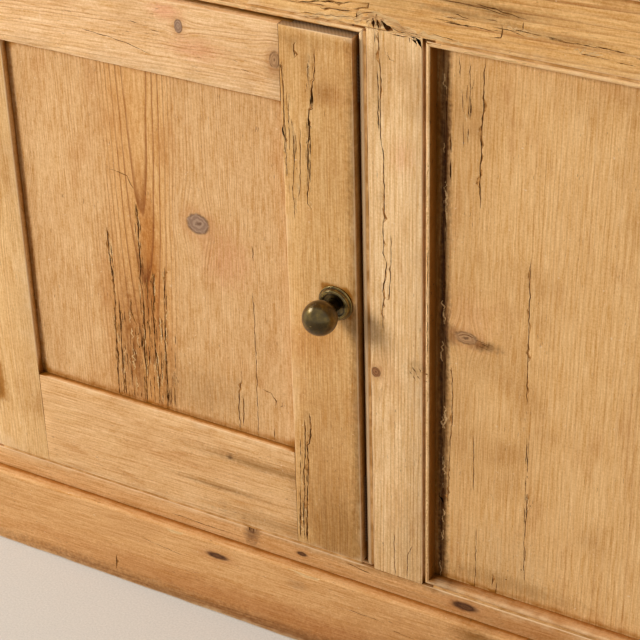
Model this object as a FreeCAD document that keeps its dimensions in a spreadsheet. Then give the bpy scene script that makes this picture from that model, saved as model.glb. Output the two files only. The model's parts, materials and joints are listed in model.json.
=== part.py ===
import FreeCAD, Part
import math
import os
from types import SimpleNamespace

import Sketcher

# A pine kitchen dresser: a cupboard base with three drawers, and a plate rack standing on it.
# X runs across, Y to the back and Z up. The origin is on the floor, under the middle of the whole.

# Driving sizes in millimetres
SIZES = {
    # Front frame of the base
    "centre_opening_width": 360,
    "post_width": 66,
    "door_opening_width": 440,
    "end_stile_width": 64,
    "frame_thickness": 24,
    "bottom_rail_height": 78,
    "bottom_rail_show": 28.4,
    "door_opening_height": 543,
    "middle_rail_height": 72,
    "drawer_opening_height": 120,
    "top_rail_height": 20,
    "bead_width": 4.7,
    "quirk_width": 2.3,
    "quirk_depth": 3.6,
    "tenon_thickness": 8,
    "tenon_length": 30,
    "tenon_shoulder": 10,
    "short_tenon_length": 9,
    "overrun": 2,
    # Fixed panel between the posts
    "panel_thickness": 7,
    "panel_entry": 8,
    "panel_slack": 1,
    "centre_panel_recess": 13,
    # Carcass behind the frame
    "carcass_depth": 480,
    "side_thickness": 22,
    "housing_depth": 6,
    "rebate_width": 10,
    "back_thickness": 12,
    "back_foot": 30,
    "tongue_length": 6,
    "board_gap": 0.8,
    "floor_thickness": 18,
    "floor_drop": 3,
    "shelf_thickness": 18,
    "shelf_height": 385,
    "shelf_setback": 62,
    "bearer_height": 28,
    "bearer_thickness": 18,
    "back_rail_height": 40,
    "back_rail_thickness": 22,
    "runner_thickness": 20,
    "runner_ledge": 26,
    "stop_length": 60,
    "stop_height": 12,
    # Plinth
    "plinth_height": 92,
    "plinth_proud": 12.5,
    "plinth_round": 3.5,
    "block_width": 38,
    "block_foot": 18,
    # Top board
    "top_thickness": 27,
    "top_overhang": 20,
    "top_nose": 9,
    "top_under_round": 4,
    # Doors
    "door_gap": 2,
    "door_proud": 7,
    "door_thickness": 22,
    "door_stile_width": 70,
    "door_top_rail": 71,
    "door_bottom_rail": 105,
    "door_panel_recess": 8,
    "door_haunch": 18,
    # Door hinges
    "hinge_height": 65,
    "hinge_inset": 58,
    "leaf_thickness": 1.5,
    "leaf_width": 25,
    "leaf_stand": 0.2,
    "knuckle_radius": 3.5,
    "knuckle_gap": 0.3,
    "hinge_pin_radius": 1.5,
    "pin_play": 0.05,
    "hinge_screw_radius": 1.6,
    "screw_head_radius": 3.2,
    "hinge_screw_length": 16,
    # Knobs, roses and door latches
    "knob_radius": 16,
    "knob_standoff": 29,
    "knob_neck_radius": 6,
    "knob_socket_depth": 12,
    "knob_from_edge": 23,
    "knob_height": 405,
    "rose_radius": 17,
    "rose_height": 6.6,
    "turning_gap": 0.3,
    "spindle_radius": 3,
    "latch_collar_radius": 5,
    "latch_thickness": 3,
    "latch_gap": 0.6,
    "latch_reach": 33,
    "latch_head_radius": 8,
    "latch_tip_radius": 5,
    "latch_nut_height": 3.5,
    "nut_radius": 7,
    # Drawers
    "drawer_gap": 1.5,
    "drawer_front_thickness": 22,
    "drawer_lap": 6,
    "drawer_side_thickness": 12,
    "drawer_side_height": 106,
    "drawer_lift": 0.5,
    "drawer_depth": 400,
    "drawer_back_inset": 18,
    "drawer_back_drop": 6,
    "drawer_bottom_thickness": 8,
    "drawer_bottom_rise": 10,
    "drawer_groove": 5,
    "drawer_stop_width": 40,
    "drawer_stop_height": 7,
    "stop_gap": 0.3,
    # Plate rack
    "rack_inset": 10,
    "rack_depth": 225,
    "rack_board": 22,
    "rack_shelf": 20,
    "rack_first_bay": 330,
    "rack_second_bay": 260,
    "rack_third_bay": 220,
    "rack_fourth_bay": 240,
    "shelf_front_gap": 3,
    "plate_groove_width": 8,
    "plate_groove_depth": 3,
    "plate_groove_inset": 52,
    "bay_foot": 46,
    "bay_scoop_height": 236,
    "bay_scoop_depth": 58,
    "frieze_thickness": 18,
    "frieze_height": 86,
    "frieze_rise": 34,
    "frieze_shoulder": 58,
    # Cornice
    "cornice_height": 62,
    "cornice_reach": 45,
    "cornice_rise": 20,
    "cornice_foot": 6,
    "cornice_fillet": 8,
    "cornice_cove": 32,
    "cornice_step": 4,
}

# Counts
BACK_BOARDS = 11
DRAWER_TAILS = 3
HINGE_SCREWS = 3

# Shape of the rose: shares of its radius, then shares of its height above the wood
ROSE_SHARES = (
    (1.0, 0.0),
    (1.0, 0.24),
    (0.93, 0.36),
    (0.91, 0.60),
    (0.86, 0.88),
    (0.78, 1.0),
    (0.70, 0.94),
    (0.62, 0.62),
    (0.50, 0.48),
)
# Width of a dovetail at its root and at its tip, as shares of the spacing
TAIL_SHARES = (0.46, 0.66)
# Places of the two knobs across a drawer front
DRAWER_KNOB_SHARES = (0.25, 0.75)

doc = FreeCAD.newDocument("KitchenDresser")
sheet = doc.addObject("Spreadsheet::Sheet", "Sizes")
for row, (alias, number) in enumerate(SIZES.items(), 1):
    sheet.set(f"A{row}", alias)
    sheet.set(f"B{row}", str(number))
    sheet.setAlias(f"B{row}", alias)
doc.recompute()


def value_of(term):
    return term.value if isinstance(term, Size) else term


def formula_of(term):
    return term.formula if isinstance(term, Size) else str(term)


class Size:
    """A length and the sheet formula that it comes from, so that sums stay bound to the sheet."""

    def __init__(self, value, formula):
        self.value = value
        self.formula = formula

    def __add__(self, other):
        return Size(self.value + value_of(other), f"({self.formula} + {formula_of(other)})")

    def __sub__(self, other):
        return Size(self.value - value_of(other), f"({self.formula} - {formula_of(other)})")

    def __mul__(self, other):
        return Size(self.value * value_of(other), f"({self.formula} * {formula_of(other)})")

    def __truediv__(self, other):
        return Size(self.value / value_of(other), f"({self.formula} / {formula_of(other)})")

    def __neg__(self):
        return Size(-self.value, f"(-1 * {self.formula})")

    def root(self):
        return Size(math.sqrt(self.value), f"sqrt({self.formula})")


S = SimpleNamespace(**{alias: Size(number, f"Sizes.{alias}") for alias, number in SIZES.items()})
NOUGHT = S.overrun * 0
nodes = {}


def node(name, solid):
    """Names a finished piece."""
    solid.Label = name
    nodes[name] = solid
    return solid


def bind(target, path, size):
    target.setExpression(path, size.formula)


def place(target, x, y, z):
    for axis, size in zip("xyz", (x, y, z)):
        bind(target, f"Placement.Base.{axis}", size)
    return target


def board(across, deep, upright):
    """A plain board between its left and right, front and back, bottom and top faces."""
    solid = doc.addObject("Part::Box", "Board")
    for side, (low, high) in zip(("Length", "Width", "Height"), (across, deep, upright)):
        bind(solid, side, high - low)
    return place(solid, across[0], deep[0], upright[0])


ROD_TURNS = {
    "x": FreeCAD.Rotation(FreeCAD.Vector(0, 1, 0), 90),
    "y": FreeCAD.Rotation(FreeCAD.Vector(1, 0, 0), -90),
    "z": FreeCAD.Rotation(),
}


def rod(axis, start, radius, length):
    """A round bar from its start along an axis."""
    solid = doc.addObject("Part::Cylinder", "Rod")
    solid.Placement = FreeCAD.Placement(FreeCAD.Vector(), ROD_TURNS[axis])
    bind(solid, "Radius", radius)
    bind(solid, "Height", length)
    return place(solid, *start)


def cut(base, *tools):
    result = doc.addObject("Part::Cut", "Cut")
    result.Base = base
    result.Tool = tools[0] if len(tools) == 1 else fuse(*tools)
    result.Refine = True
    return result


def fuse(*solids):
    result = doc.addObject("Part::MultiFuse", "Fuse")
    result.Shapes = list(solids)
    result.Refine = True
    return result


def group(*solids):
    """Separate solids that share one name."""
    result = doc.addObject("Part::Compound", "Group")
    result.Links = list(solids)
    return result


def mirrored(source):
    """The same piece on the other side of the dresser."""
    twin = doc.addObject("Part::Mirroring", "Twin")
    twin.Source = source
    twin.Normal = FreeCAD.Vector(1, 0, 0)
    return twin


# Vertices of a sketch edge, as the sketcher counts them
START, END, CENTRE = 1, 2, 3


def angle_at(point, centre):
    return math.atan2(point[1] - centre[1], point[0] - centre[0])


def numbers(point):
    return tuple(value_of(term) for term in point)


def draw(sketch, outline):
    """Draws a closed outline whose corners are pinned to the sketch's origin by named sizes.

    A corner is (x, y). A corner reached along an arc is (x, y, centre, via), with the arc's centre
    and a point on the side that the arc passes.
    """
    starts = []
    ends = []
    count = len(outline)
    for index in range(count):
        here = numbers(outline[index][:2])
        following = outline[(index + 1) % count]
        there = numbers(following[:2])
        if len(following) == 2:
            line = Part.LineSegment(FreeCAD.Vector(*here, 0), FreeCAD.Vector(*there, 0))
            sketch.addGeometry(line, False)
            starts.append(START)
            ends.append(END)
            continue
        centre = numbers(following[2])
        radius = math.dist(here, centre)
        circle = Part.Circle(FreeCAD.Vector(*centre, 0), FreeCAD.Vector(0, 0, 1), radius)
        first = angle_at(here, centre)
        last = angle_at(there, centre)
        via = (angle_at(numbers(following[3]), centre) - first) % math.tau
        leftward = via < (last - first) % math.tau
        if leftward:
            sketch.addGeometry(Part.ArcOfCircle(circle, first, last), False)
            starts.append(START)
            ends.append(END)
        else:
            sketch.addGeometry(Part.ArcOfCircle(circle, last, first), False)
            starts.append(END)
            ends.append(START)
    for index in range(count):
        after = (index + 1) % count
        joint = Sketcher.Constraint("Coincident", index, ends[index], after, starts[after])
        sketch.addConstraint(joint)
    for index in range(count):
        pin(sketch, index, starts[index], outline[index][:2], f"corner_{index}")
        following = outline[(index + 1) % count]
        if len(following) > 2:
            here = numbers(outline[index][:2])
            there = numbers(following[:2])
            flat = abs(there[0] - here[0]) > abs(there[1] - here[1])
            pin(sketch, index, CENTRE, following[2], f"centre_{index}", "Y" if flat else "X")


def pin(sketch, edge, vertex, point, name, directions="XY"):
    """Holds a point of an outline at its named distances from the sketch's origin."""
    for direction, size in zip("XY", point):
        if direction not in directions:
            continue
        distance = Sketcher.Constraint(f"Distance{direction}", -1, 1, edge, vertex, float(size.value))
        number = sketch.addConstraint(distance)
        sketch.renameConstraint(number, f"{name}_{direction}")
        bind(sketch, f"Constraints.{name}_{direction}", size)


RIGHT, REAR, UP = FreeCAD.Vector(1, 0, 0), FreeCAD.Vector(0, 1, 0), FreeCAD.Vector(0, 0, 1)
SKETCH_TURNS = {
    "x": FreeCAD.Rotation(REAR, UP, RIGHT, "ZXY"),
    "y": FreeCAD.Rotation(RIGHT, UP, -REAR, "ZXY"),
    "z": FreeCAD.Rotation(),
}


def prism(axis, outline, span):
    """A straight piece along an axis, from low to high, with a drawn section."""
    low, high = span
    sketch = doc.addObject("Sketcher::SketchObject", "Outline")
    sketch.Placement = FreeCAD.Placement(FreeCAD.Vector(), SKETCH_TURNS[axis])
    bind(sketch, f"Placement.Base.{axis}", high if axis == "y" else low)
    draw(sketch, outline)
    solid = doc.addObject("Part::Extrusion", "Prism")
    solid.Base = sketch
    solid.DirMode = "Normal"
    solid.Solid = True
    bind(solid, "LengthFwd", high - low)
    return solid


BODY_PLANES = {"x": "YZ_Plane", "y": "XZ_Plane", "z": "XY_Plane"}


def sketched_body(name, axis, outline):
    body = doc.addObject("PartDesign::Body", name)
    plane = next(part for part in body.Origin.OriginFeatures if part.Role == BODY_PLANES[axis])
    sketch = body.newObject("Sketcher::SketchObject", "Section")
    sketch.AttachmentSupport = [(plane, "")]
    sketch.MapMode = "FlatFace"
    draw(sketch, outline)
    return body, sketch


def moulding(name, axis, outline, span):
    """A body whose section is sketched across an axis and padded along it."""
    body, sketch = sketched_body(name, axis, outline)
    pad = body.newObject("PartDesign::Pad", "Run")
    pad.Profile = sketch
    pad.Reversed = axis == "y"
    bind(pad, "Length", span[1] - span[0])
    body.Tip = pad
    bind(body, f"Placement.Base.{axis}", span[0])
    return body


def turning(name, outline, x, y, z):
    """A turned body: the outline is radius, then distance out from the wood, towards the front."""
    body, sketch = sketched_body(name, "z", outline)
    turned = body.newObject("PartDesign::Revolution", "Turned")
    turned.Profile = sketch
    turned.ReferenceAxis = (sketch, ["V_Axis"])
    turned.Angle = 360
    body.Tip = turned
    body.Placement = FreeCAD.Placement(FreeCAD.Vector(), FreeCAD.Rotation(UP, 180))
    return place(body, x, y, z)


def round_edges(body, radius, chosen):
    """Rounds the edges of a body that the test picks."""
    doc.recompute()
    tip = body.Tip
    edges = enumerate(tip.Shape.Edges, 1)
    picked = [f"Edge{index}" for index, edge in edges if chosen(edge.BoundBox)]
    fillet = body.newObject("PartDesign::Fillet", "Rounded")
    fillet.Base = (tip, picked)
    bind(fillet, "Radius", radius)
    body.Tip = fillet


# Places across the front, measured from the middle
post_inner = S.centre_opening_width / 2
post_outer = post_inner + S.post_width
stile_inner = post_outer + S.door_opening_width
half_width = stile_inner + S.end_stile_width
side_inner = half_width - S.side_thickness
rack_half = half_width - S.rack_inset
rack_inner = rack_half - S.rack_board

# Places from front to back
knob_reach = S.door_proud + S.knob_standoff + S.knob_radius
face = (knob_reach - S.carcass_depth) / 2
frame_back = face + S.frame_thickness
back = face + S.carcass_depth
back_inner = back - S.back_thickness
door_front = face - S.door_proud
door_back = door_front + S.door_thickness
rack_front = back - S.rack_depth

drawer_openings = {
    "drawer_left": (-stile_inner, -post_outer),
    "drawer_centre": (-post_inner, post_inner),
    "drawer_right": (post_outer, stile_inner),
}

# Heights
opening_low = S.plinth_height + S.bottom_rail_show
opening_high = opening_low + S.door_opening_height
drawer_low = opening_high + S.middle_rail_height
drawer_high = drawer_low + S.drawer_opening_height
carcass_top = drawer_high + S.top_rail_height
worktop = carcass_top + S.top_thickness
rack_bays = (S.rack_first_bay, S.rack_second_bay, S.rack_third_bay, S.rack_fourth_bay)
rack_top = worktop
for bay in rack_bays:
    rack_top = rack_top + bay + S.rack_shelf
floor_top = opening_low - S.floor_drop

bead_set = S.bead_width + S.quirk_width
frame_middle = face + S.frame_thickness / 2
tenon_deep = (frame_middle - S.tenon_thickness / 2, frame_middle + S.tenon_thickness / 2)
frame_deep = (face, frame_back)
groove_depth = S.panel_entry + S.panel_slack


def bead_cutter(axis, edge, inward, span):
    """What the plane takes off along an edge to leave a round bead and its quirk.

    The edge is at a place across for an upright member, or at a height for a rail, and inward is
    1 or -1 for the side on which the wood lies.
    """
    radius = S.bead_width / 2

    def point(into, behind):
        along = edge + into * inward
        return (along, face + behind) if axis == "z" else (face + behind, along)

    crown = point(radius, NOUGHT)
    outline = [
        point(-S.overrun, -S.overrun),
        point(bead_set, -S.overrun),
        point(bead_set, S.quirk_depth),
        point(S.bead_width, S.quirk_depth),
        point(S.bead_width, radius),
        point(NOUGHT, radius) + (point(radius, radius), crown),
        point(-S.overrun, radius),
    ]
    return prism(axis, outline, span)


def rail_blank(name, edge, far, upward):
    """A rail between the end stiles whose beaded edge is mitred to the stiles and posts."""
    shoulder = edge + bead_set * upward
    half = [
        (post_inner, edge),
        (post_inner + bead_set, shoulder),
        (post_outer - bead_set, shoulder),
        (post_outer, edge),
        (stile_inner, edge),
        (stile_inner + bead_set, shoulder),
        (stile_inner + bead_set, far),
    ]
    outline = half + [(-x, z) for x, z in reversed(half)]
    return moulding(name, "y", outline, frame_deep)


def stile_tenons(low, high):
    """Tenons of a rail in both end stiles."""
    root = stile_inner + bead_set
    tenon = board((-(root + S.tenon_length), -root), tenon_deep, (low, high))
    return [tenon, mirrored(tenon)]


def frame_pieces():
    """The front frame: end stiles, posts, rails and the short posts between the drawers."""
    length = (-(stile_inner + bead_set), stile_inner + bead_set)
    middle_blank = rail_blank("MiddleRailBlank", opening_high, drawer_low, 1)
    bottom_foot = opening_low - S.bottom_rail_height
    bottom_blank = rail_blank("BottomRailBlank", opening_low, bottom_foot, -1)
    top_blank = board(length, frame_deep, (drawer_high, carcass_top))

    bottom_head = opening_low - bead_set
    middle_foot = opening_high + bead_set
    middle_tenons = stile_tenons(middle_foot + S.tenon_shoulder, drawer_low - S.tenon_shoulder)
    bottom_tenons = stile_tenons(bottom_foot + S.tenon_shoulder, bottom_head - S.tenon_shoulder)
    top_shoulder = S.top_rail_height / 4
    top_tenons = stile_tenons(drawer_high + top_shoulder, carcass_top - top_shoulder)

    post_across = (-post_outer, -post_inner)
    tongue_outer = post_outer - bead_set - S.tenon_shoulder
    tongue_across = (-tongue_outer, -(post_inner + groove_depth + S.tenon_shoulder))
    post_top = middle_foot
    post_foot = bottom_head
    upper = board(tongue_across, tenon_deep, (post_top, post_top + S.tenon_length))
    lower = board(tongue_across, tenon_deep, (post_foot - S.tenon_length, post_foot))
    short_upper = board(tongue_across, tenon_deep, (drawer_high, drawer_high + S.short_tenon_length))
    short_lower = board(tongue_across, tenon_deep, (drawer_low - S.short_tenon_length, drawer_low))

    def panel_groove(across, upright):
        front = face + S.centre_panel_recess
        return board(across, (front, front + S.panel_thickness), upright)

    blank = board(post_across, frame_deep, (post_foot, post_top))
    beads = [
        bead_cutter("z", -post_outer, 1, (post_foot - S.overrun, post_top + S.overrun)),
        bead_cutter("z", -post_inner, -1, (post_foot - S.overrun, post_top + S.overrun)),
    ]
    groove = panel_groove((-(post_inner + groove_depth), -post_inner), (post_foot, post_top))
    post = node("post_left", fuse(cut(blank, middle_blank, bottom_blank, groove, *beads), upper, lower))
    node("post_right", mirrored(post))

    edges = [
        bead_cutter("z", -post_outer, 1, (drawer_low, drawer_high)),
        bead_cutter("z", -post_inner, -1, (drawer_low, drawer_high)),
    ]
    short_blank = board(post_across, frame_deep, (drawer_low, drawer_high))
    short = fuse(cut(short_blank, *edges), short_upper, short_lower)
    node("drawer_posts", group(short, mirrored(short)))

    def mortises(*tenons):
        return [*tenons, *[mirrored(tenon) for tenon in tenons]]

    panel_across = (-(post_inner + groove_depth), post_inner + groove_depth)
    edge = bead_cutter("x", opening_high, 1, length)
    groove = panel_groove(panel_across, (opening_high, opening_high + groove_depth))
    sunk = cut(middle_blank, edge, groove, *mortises(upper, short_lower))
    node("middle_rail", fuse(sunk, *middle_tenons))

    edge = bead_cutter("x", opening_low, -1, length)
    groove = panel_groove(panel_across, (opening_low - groove_depth, opening_low))
    sunk = cut(bottom_blank, edge, groove, *mortises(lower))
    node("bottom_rail", fuse(sunk, *bottom_tenons))

    node("top_rail", fuse(cut(top_blank, *mortises(short_upper)), *top_tenons))

    stile = board((-half_width, -stile_inner), frame_deep, (NOUGHT, carcass_top))
    edge = bead_cutter("z", -stile_inner, -1, (NOUGHT, carcass_top))
    holes = [middle_blank, bottom_blank, top_blank, middle_tenons[0], bottom_tenons[0], top_tenons[0]]
    fittings = [part for hinge in hinges for part in (hinge["frame_plate"], *hinge["frame_screws"])]
    node("end_stile_left", cut(stile, edge, *holes, *fittings))
    node("end_stile_right", mirrored(nodes["end_stile_left"]))

    reach = post_inner + S.panel_entry
    front = face + S.centre_panel_recess
    upright = (opening_low - S.panel_entry, opening_high + S.panel_entry)
    node("centre_panel", board((-reach, reach), (front, front + S.panel_thickness), upright))


def plinth_pieces():
    """The skirting that is planted round the base, mitred at its corners, and its glue blocks."""
    outer = half_width + S.plinth_proud
    front = face - S.plinth_proud
    rounded = S.plinth_height - S.plinth_round

    def section(wall, outwards):
        shown = wall + S.plinth_proud * outwards
        inset = shown - S.plinth_round * outwards
        slope = S.plinth_round * math.sqrt(0.5)
        crown = (inset + slope * outwards, rounded + slope)
        return [
            (shown, NOUGHT),
            (wall, NOUGHT),
            (wall, S.plinth_height),
            (inset, S.plinth_height),
            (shown, rounded, (inset, rounded), crown),
        ]

    skirting = moulding("PlinthFront", "x", section(face, -1), (-outer, outer))
    turned = moulding("PlinthReturn", "y", section(-half_width, -1), (front, back))
    upright = (NOUGHT, S.plinth_height)
    behind = prism("z", [(-outer, front), (-half_width, face), (-outer, face)], upright)
    before = prism("z", [(-outer, front), (-half_width, front), (-half_width, face)], upright)
    side = cut(turned, before)
    node("plinth", group(cut(skirting, behind, mirrored(behind)), side, mirrored(side)))

    under = floor_top - S.floor_thickness
    across = (-side_inner, -(side_inner - S.block_width))
    front_block = board(across, (frame_back, frame_back + S.block_width), (S.block_foot, under))
    back_block = board(across, (back_inner - S.block_width, back_inner), (S.block_foot, under))
    middle_foot = opening_low - S.bottom_rail_height
    middle = (-post_outer, -(post_outer - S.block_width))
    middle_block = board(middle, (frame_back, frame_back + S.block_width), (middle_foot, under))
    blocks = [front_block, back_block, middle_block]
    node("plinth_blocks", group(*blocks, *[mirrored(block) for block in blocks]))


def boarding(low, high, half_span):
    """Upright tongued and grooved boards across the back."""
    thickness = S.back_thickness
    tongue = (back_inner + thickness / 3, back_inner + thickness * 2 / 3)
    pitch = (half_span * 2 + S.board_gap) / BACK_BOARDS
    boards = []
    for index in range(BACK_BOARDS):
        left = pitch * index - half_span
        right = left + pitch - S.board_gap
        outline = [(left, back_inner), (right, back_inner)]
        if index < BACK_BOARDS - 1:
            tip = right + S.tongue_length
            outline += [(right, tongue[0]), (tip, tongue[0]), (tip, tongue[1]), (right, tongue[1])]
        outline += [(right, back), (left, back)]
        if index > 0:
            sunk = left + S.tongue_length
            outline += [(left, tongue[1]), (sunk, tongue[1]), (sunk, tongue[0]), (left, tongue[0])]
        boards.append(prism("z", outline, (low, high)))
    return boards


def carcass_pieces():
    """Sides, floor, back, shelf and the drawers' runners behind the front frame."""
    housed = side_inner + S.housing_depth
    inner_deep = (frame_back, back_inner)
    floor_upright = (floor_top - S.floor_thickness, floor_top)
    floor = node("cupboard_floor", board((-housed, housed), inner_deep, floor_upright))
    rebated = side_inner + S.rebate_width
    node("back_boards", group(*boarding(S.back_foot, carcass_top, rebated)))
    side = board((-half_width, -side_inner), (frame_back, back), (NOUGHT, carcass_top))
    rebate = board((-rebated, -side_inner), (back_inner, back), (S.back_foot, carcass_top))
    node("side_left", cut(side, floor, rebate))
    node("side_right", mirrored(nodes["side_left"]))

    shelf_deep = (frame_back + S.shelf_setback, back_inner)
    shelf_low = S.shelf_height - S.shelf_thickness
    node("cupboard_shelf", board((-side_inner, side_inner), shelf_deep, (shelf_low, S.shelf_height)))
    bearer_upright = (shelf_low - S.bearer_height, shelf_low)
    bearer_inner = side_inner - S.bearer_thickness
    end = board((-side_inner, -bearer_inner), shelf_deep, bearer_upright)
    rear_deep = (back_inner - S.bearer_thickness, back_inner)
    rear = board((-bearer_inner, bearer_inner), rear_deep, bearer_upright)
    node("shelf_bearers", group(end, mirrored(end), rear))

    rail_front = back_inner - S.back_rail_thickness
    rail_upright = (drawer_low - S.back_rail_height, drawer_low)
    node("back_rail", board((-side_inner, side_inner), (rail_front, back_inner), rail_upright))

    end_across = (-side_inner, -(stile_inner - S.runner_ledge))
    post_across = (-(post_outer + S.runner_ledge), -(post_inner - S.runner_ledge))
    end_guide = (-side_inner, -stile_inner)
    post_guide = (-post_outer, -post_inner)
    runner_upright = (drawer_low - S.runner_thickness, drawer_low)
    kicker_upright = (drawer_high, carcass_top)
    guide_upright = (drawer_low, drawer_low + S.runner_thickness)

    def pairs(across_spans, deep, upright):
        lefts = [board(across, deep, upright) for across in across_spans]
        return group(*lefts, *[mirrored(left) for left in lefts])

    node("drawer_runners", pairs([end_across, post_across], (frame_back, rail_front), runner_upright))
    node("drawer_guides", pairs([end_guide, post_guide], inner_deep, guide_upright))
    node("drawer_kickers", pairs([end_across, post_across], inner_deep, kicker_upright))

    stop_across = (-(post_outer + S.stop_length * 2), -(post_outer + S.stop_length))
    stop_deep = (door_back + S.stop_gap, frame_back)
    node("door_stops", pairs([stop_across], stop_deep, (opening_high - S.stop_height, opening_high)))
    node("drawer_stops", group(*drawer_stops()))

    reach = half_width + S.top_overhang
    front = face - S.top_overhang
    outline = [(-reach, front), (reach, front), (reach, back), (-reach, back)]
    slab = moulding("TopBoard", "z", outline, (carcass_top, worktop))
    thickness = S.top_thickness.value
    rear = back.value

    def shown(box, height):
        level = max(abs(box.ZMin - height), abs(box.ZMax - height)) < S.overrun.value
        return level and box.YMin < rear - thickness

    round_edges(slab, S.top_nose, lambda box: shown(box, thickness))
    round_edges(slab, S.top_under_round, lambda box: shown(box, 0))
    node("top_board", slab)


def drawer_stops():
    """Small blocks on the middle rail, behind the drawer fronts, two to a drawer."""
    deep = (door_front + S.drawer_front_thickness + S.stop_gap, frame_back)
    upright = (drawer_low, drawer_low + S.drawer_stop_height)
    stops = []
    for left, right in drawer_openings.values():
        for share in DRAWER_KNOB_SHARES:
            start = left + (right - left) * share - S.drawer_stop_width / 2
            stops.append(board((start, start + S.drawer_stop_width), deep, upright))
    return stops


def rack_pieces():
    """The plate rack: shaped sides, grooved shelves, boarded back, frieze and cornice."""
    housed = rack_inner + S.housing_depth
    shelf_deep = (rack_front + S.shelf_front_gap, back_inner)
    groove_front = back_inner - S.plate_groove_inset
    groove_deep = (groove_front, groove_front + S.plate_groove_width)
    shelves = []
    blanks = []
    level = worktop
    for bay in rack_bays[:-1]:
        level = level + bay
        top = level + S.rack_shelf
        blank = board((-housed, housed), shelf_deep, (level, top))
        groove = board((-rack_inner, rack_inner), groove_deep, (top - S.plate_groove_depth, top))
        shelves.append(cut(blank, groove))
        blanks.append(blank)
        level = top
    node("rack_shelves", group(*shelves))
    lid_low = rack_top - S.rack_shelf
    lid = node("rack_top", board((-housed, housed), (rack_front, back_inner), (lid_low, rack_top)))

    scoop_low = worktop + S.bay_foot
    scoop_high = scoop_low + S.bay_scoop_height
    scoop_middle = (scoop_low + scoop_high) / 2
    half_chord = S.bay_scoop_height / 2
    deepest = S.bay_scoop_depth
    centre_ahead = (half_chord * half_chord - deepest * deepest) / (deepest * 2)
    outline = [
        (back, worktop),
        (back, rack_top),
        (rack_front, rack_top),
        (rack_front, scoop_high),
        (
            rack_front,
            scoop_low,
            (rack_front - centre_ahead, scoop_middle),
            (rack_front + deepest, scoop_middle),
        ),
        (rack_front, worktop),
    ]
    side = moulding("RackSide", "x", outline, (-rack_half, -rack_inner))
    rebated = rack_inner + S.rebate_width
    rebate = board((-rebated, -rack_inner), (back_inner, back), (worktop, rack_top))
    node("rack_side_left", cut(side, *blanks, lid, rebate))
    node("rack_side_right", mirrored(nodes["rack_side_left"]))
    node("rack_back_boards", group(*boarding(worktop, rack_top, rebated)))

    frieze_low = lid_low - S.frieze_height
    step = rack_inner - S.frieze_shoulder
    turn = step - S.frieze_rise
    raised = frieze_low + S.frieze_rise
    slope = S.frieze_rise * math.sqrt(0.5)
    outline = [
        (-rack_inner, lid_low),
        (-rack_inner, frieze_low),
        (-step, frieze_low),
        (-turn, raised, (-turn, frieze_low), (-turn - slope, frieze_low + slope)),
        (turn, raised),
        (step, frieze_low, (turn, frieze_low), (turn + slope, frieze_low + slope)),
        (rack_inner, frieze_low),
        (rack_inner, lid_low),
    ]
    node("rack_frieze", moulding("Frieze", "y", outline, (rack_front, rack_front + S.frieze_thickness)))
    cornice_piece()


def cornice_piece():
    """A coved cornice round the front and sides of the rack, mitred at its corners."""
    low = rack_top + S.cornice_rise - S.cornice_height
    high = low + S.cornice_height
    cove_low = low + S.cornice_fillet
    cove_high = cove_low + S.cornice_cove
    cove_out = S.cornice_foot + S.cornice_cove

    def section(wall):
        slope = S.cornice_cove * math.sqrt(0.5)
        hollow = (wall - cove_out + slope, cove_low + slope)
        return [
            (wall, high),
            (wall, low),
            (wall - S.cornice_foot, low),
            (wall - S.cornice_foot, cove_low),
            (wall - cove_out, cove_high, (wall - cove_out, cove_low), hollow),
            (wall - cove_out, cove_high + S.cornice_step),
            (wall - S.cornice_reach, cove_high + S.cornice_step),
            (wall - S.cornice_reach, high),
        ]

    outer = rack_half + S.cornice_reach
    front = rack_front - S.cornice_reach
    length = moulding("CorniceFront", "x", section(rack_front), (-outer, outer))
    turned = moulding("CorniceReturn", "y", section(-rack_half), (front, back))
    behind = prism("z", [(-outer, front), (-rack_half, rack_front), (-outer, rack_front)], (low, high))
    before = prism("z", [(-outer, front), (-rack_half, front), (-rack_half, rack_front)], (low, high))
    side = cut(turned, before)
    node("cornice", group(cut(length, behind, mirrored(behind)), side, mirrored(side)))


def hinge_screw(x, y, z, into):
    """A countersunk screw whose head is flush with the leaf and whose shank lies in the wood."""
    head = doc.addObject("Part::Cone", "ScrewHead")
    turn = ROD_TURNS["x"] if into > 0 else ROD_TURNS["x"].inverted()
    head.Placement = FreeCAD.Placement(FreeCAD.Vector(), turn)
    bind(head, "Radius1", S.screw_head_radius)
    bind(head, "Radius2", S.hinge_screw_radius)
    bind(head, "Height", S.leaf_thickness)
    place(head, x, y, z)
    start = x if into > 0 else x - S.hinge_screw_length
    return fuse(head, rod("x", (start, y, z), S.hinge_screw_radius, S.hinge_screw_length))


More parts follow.
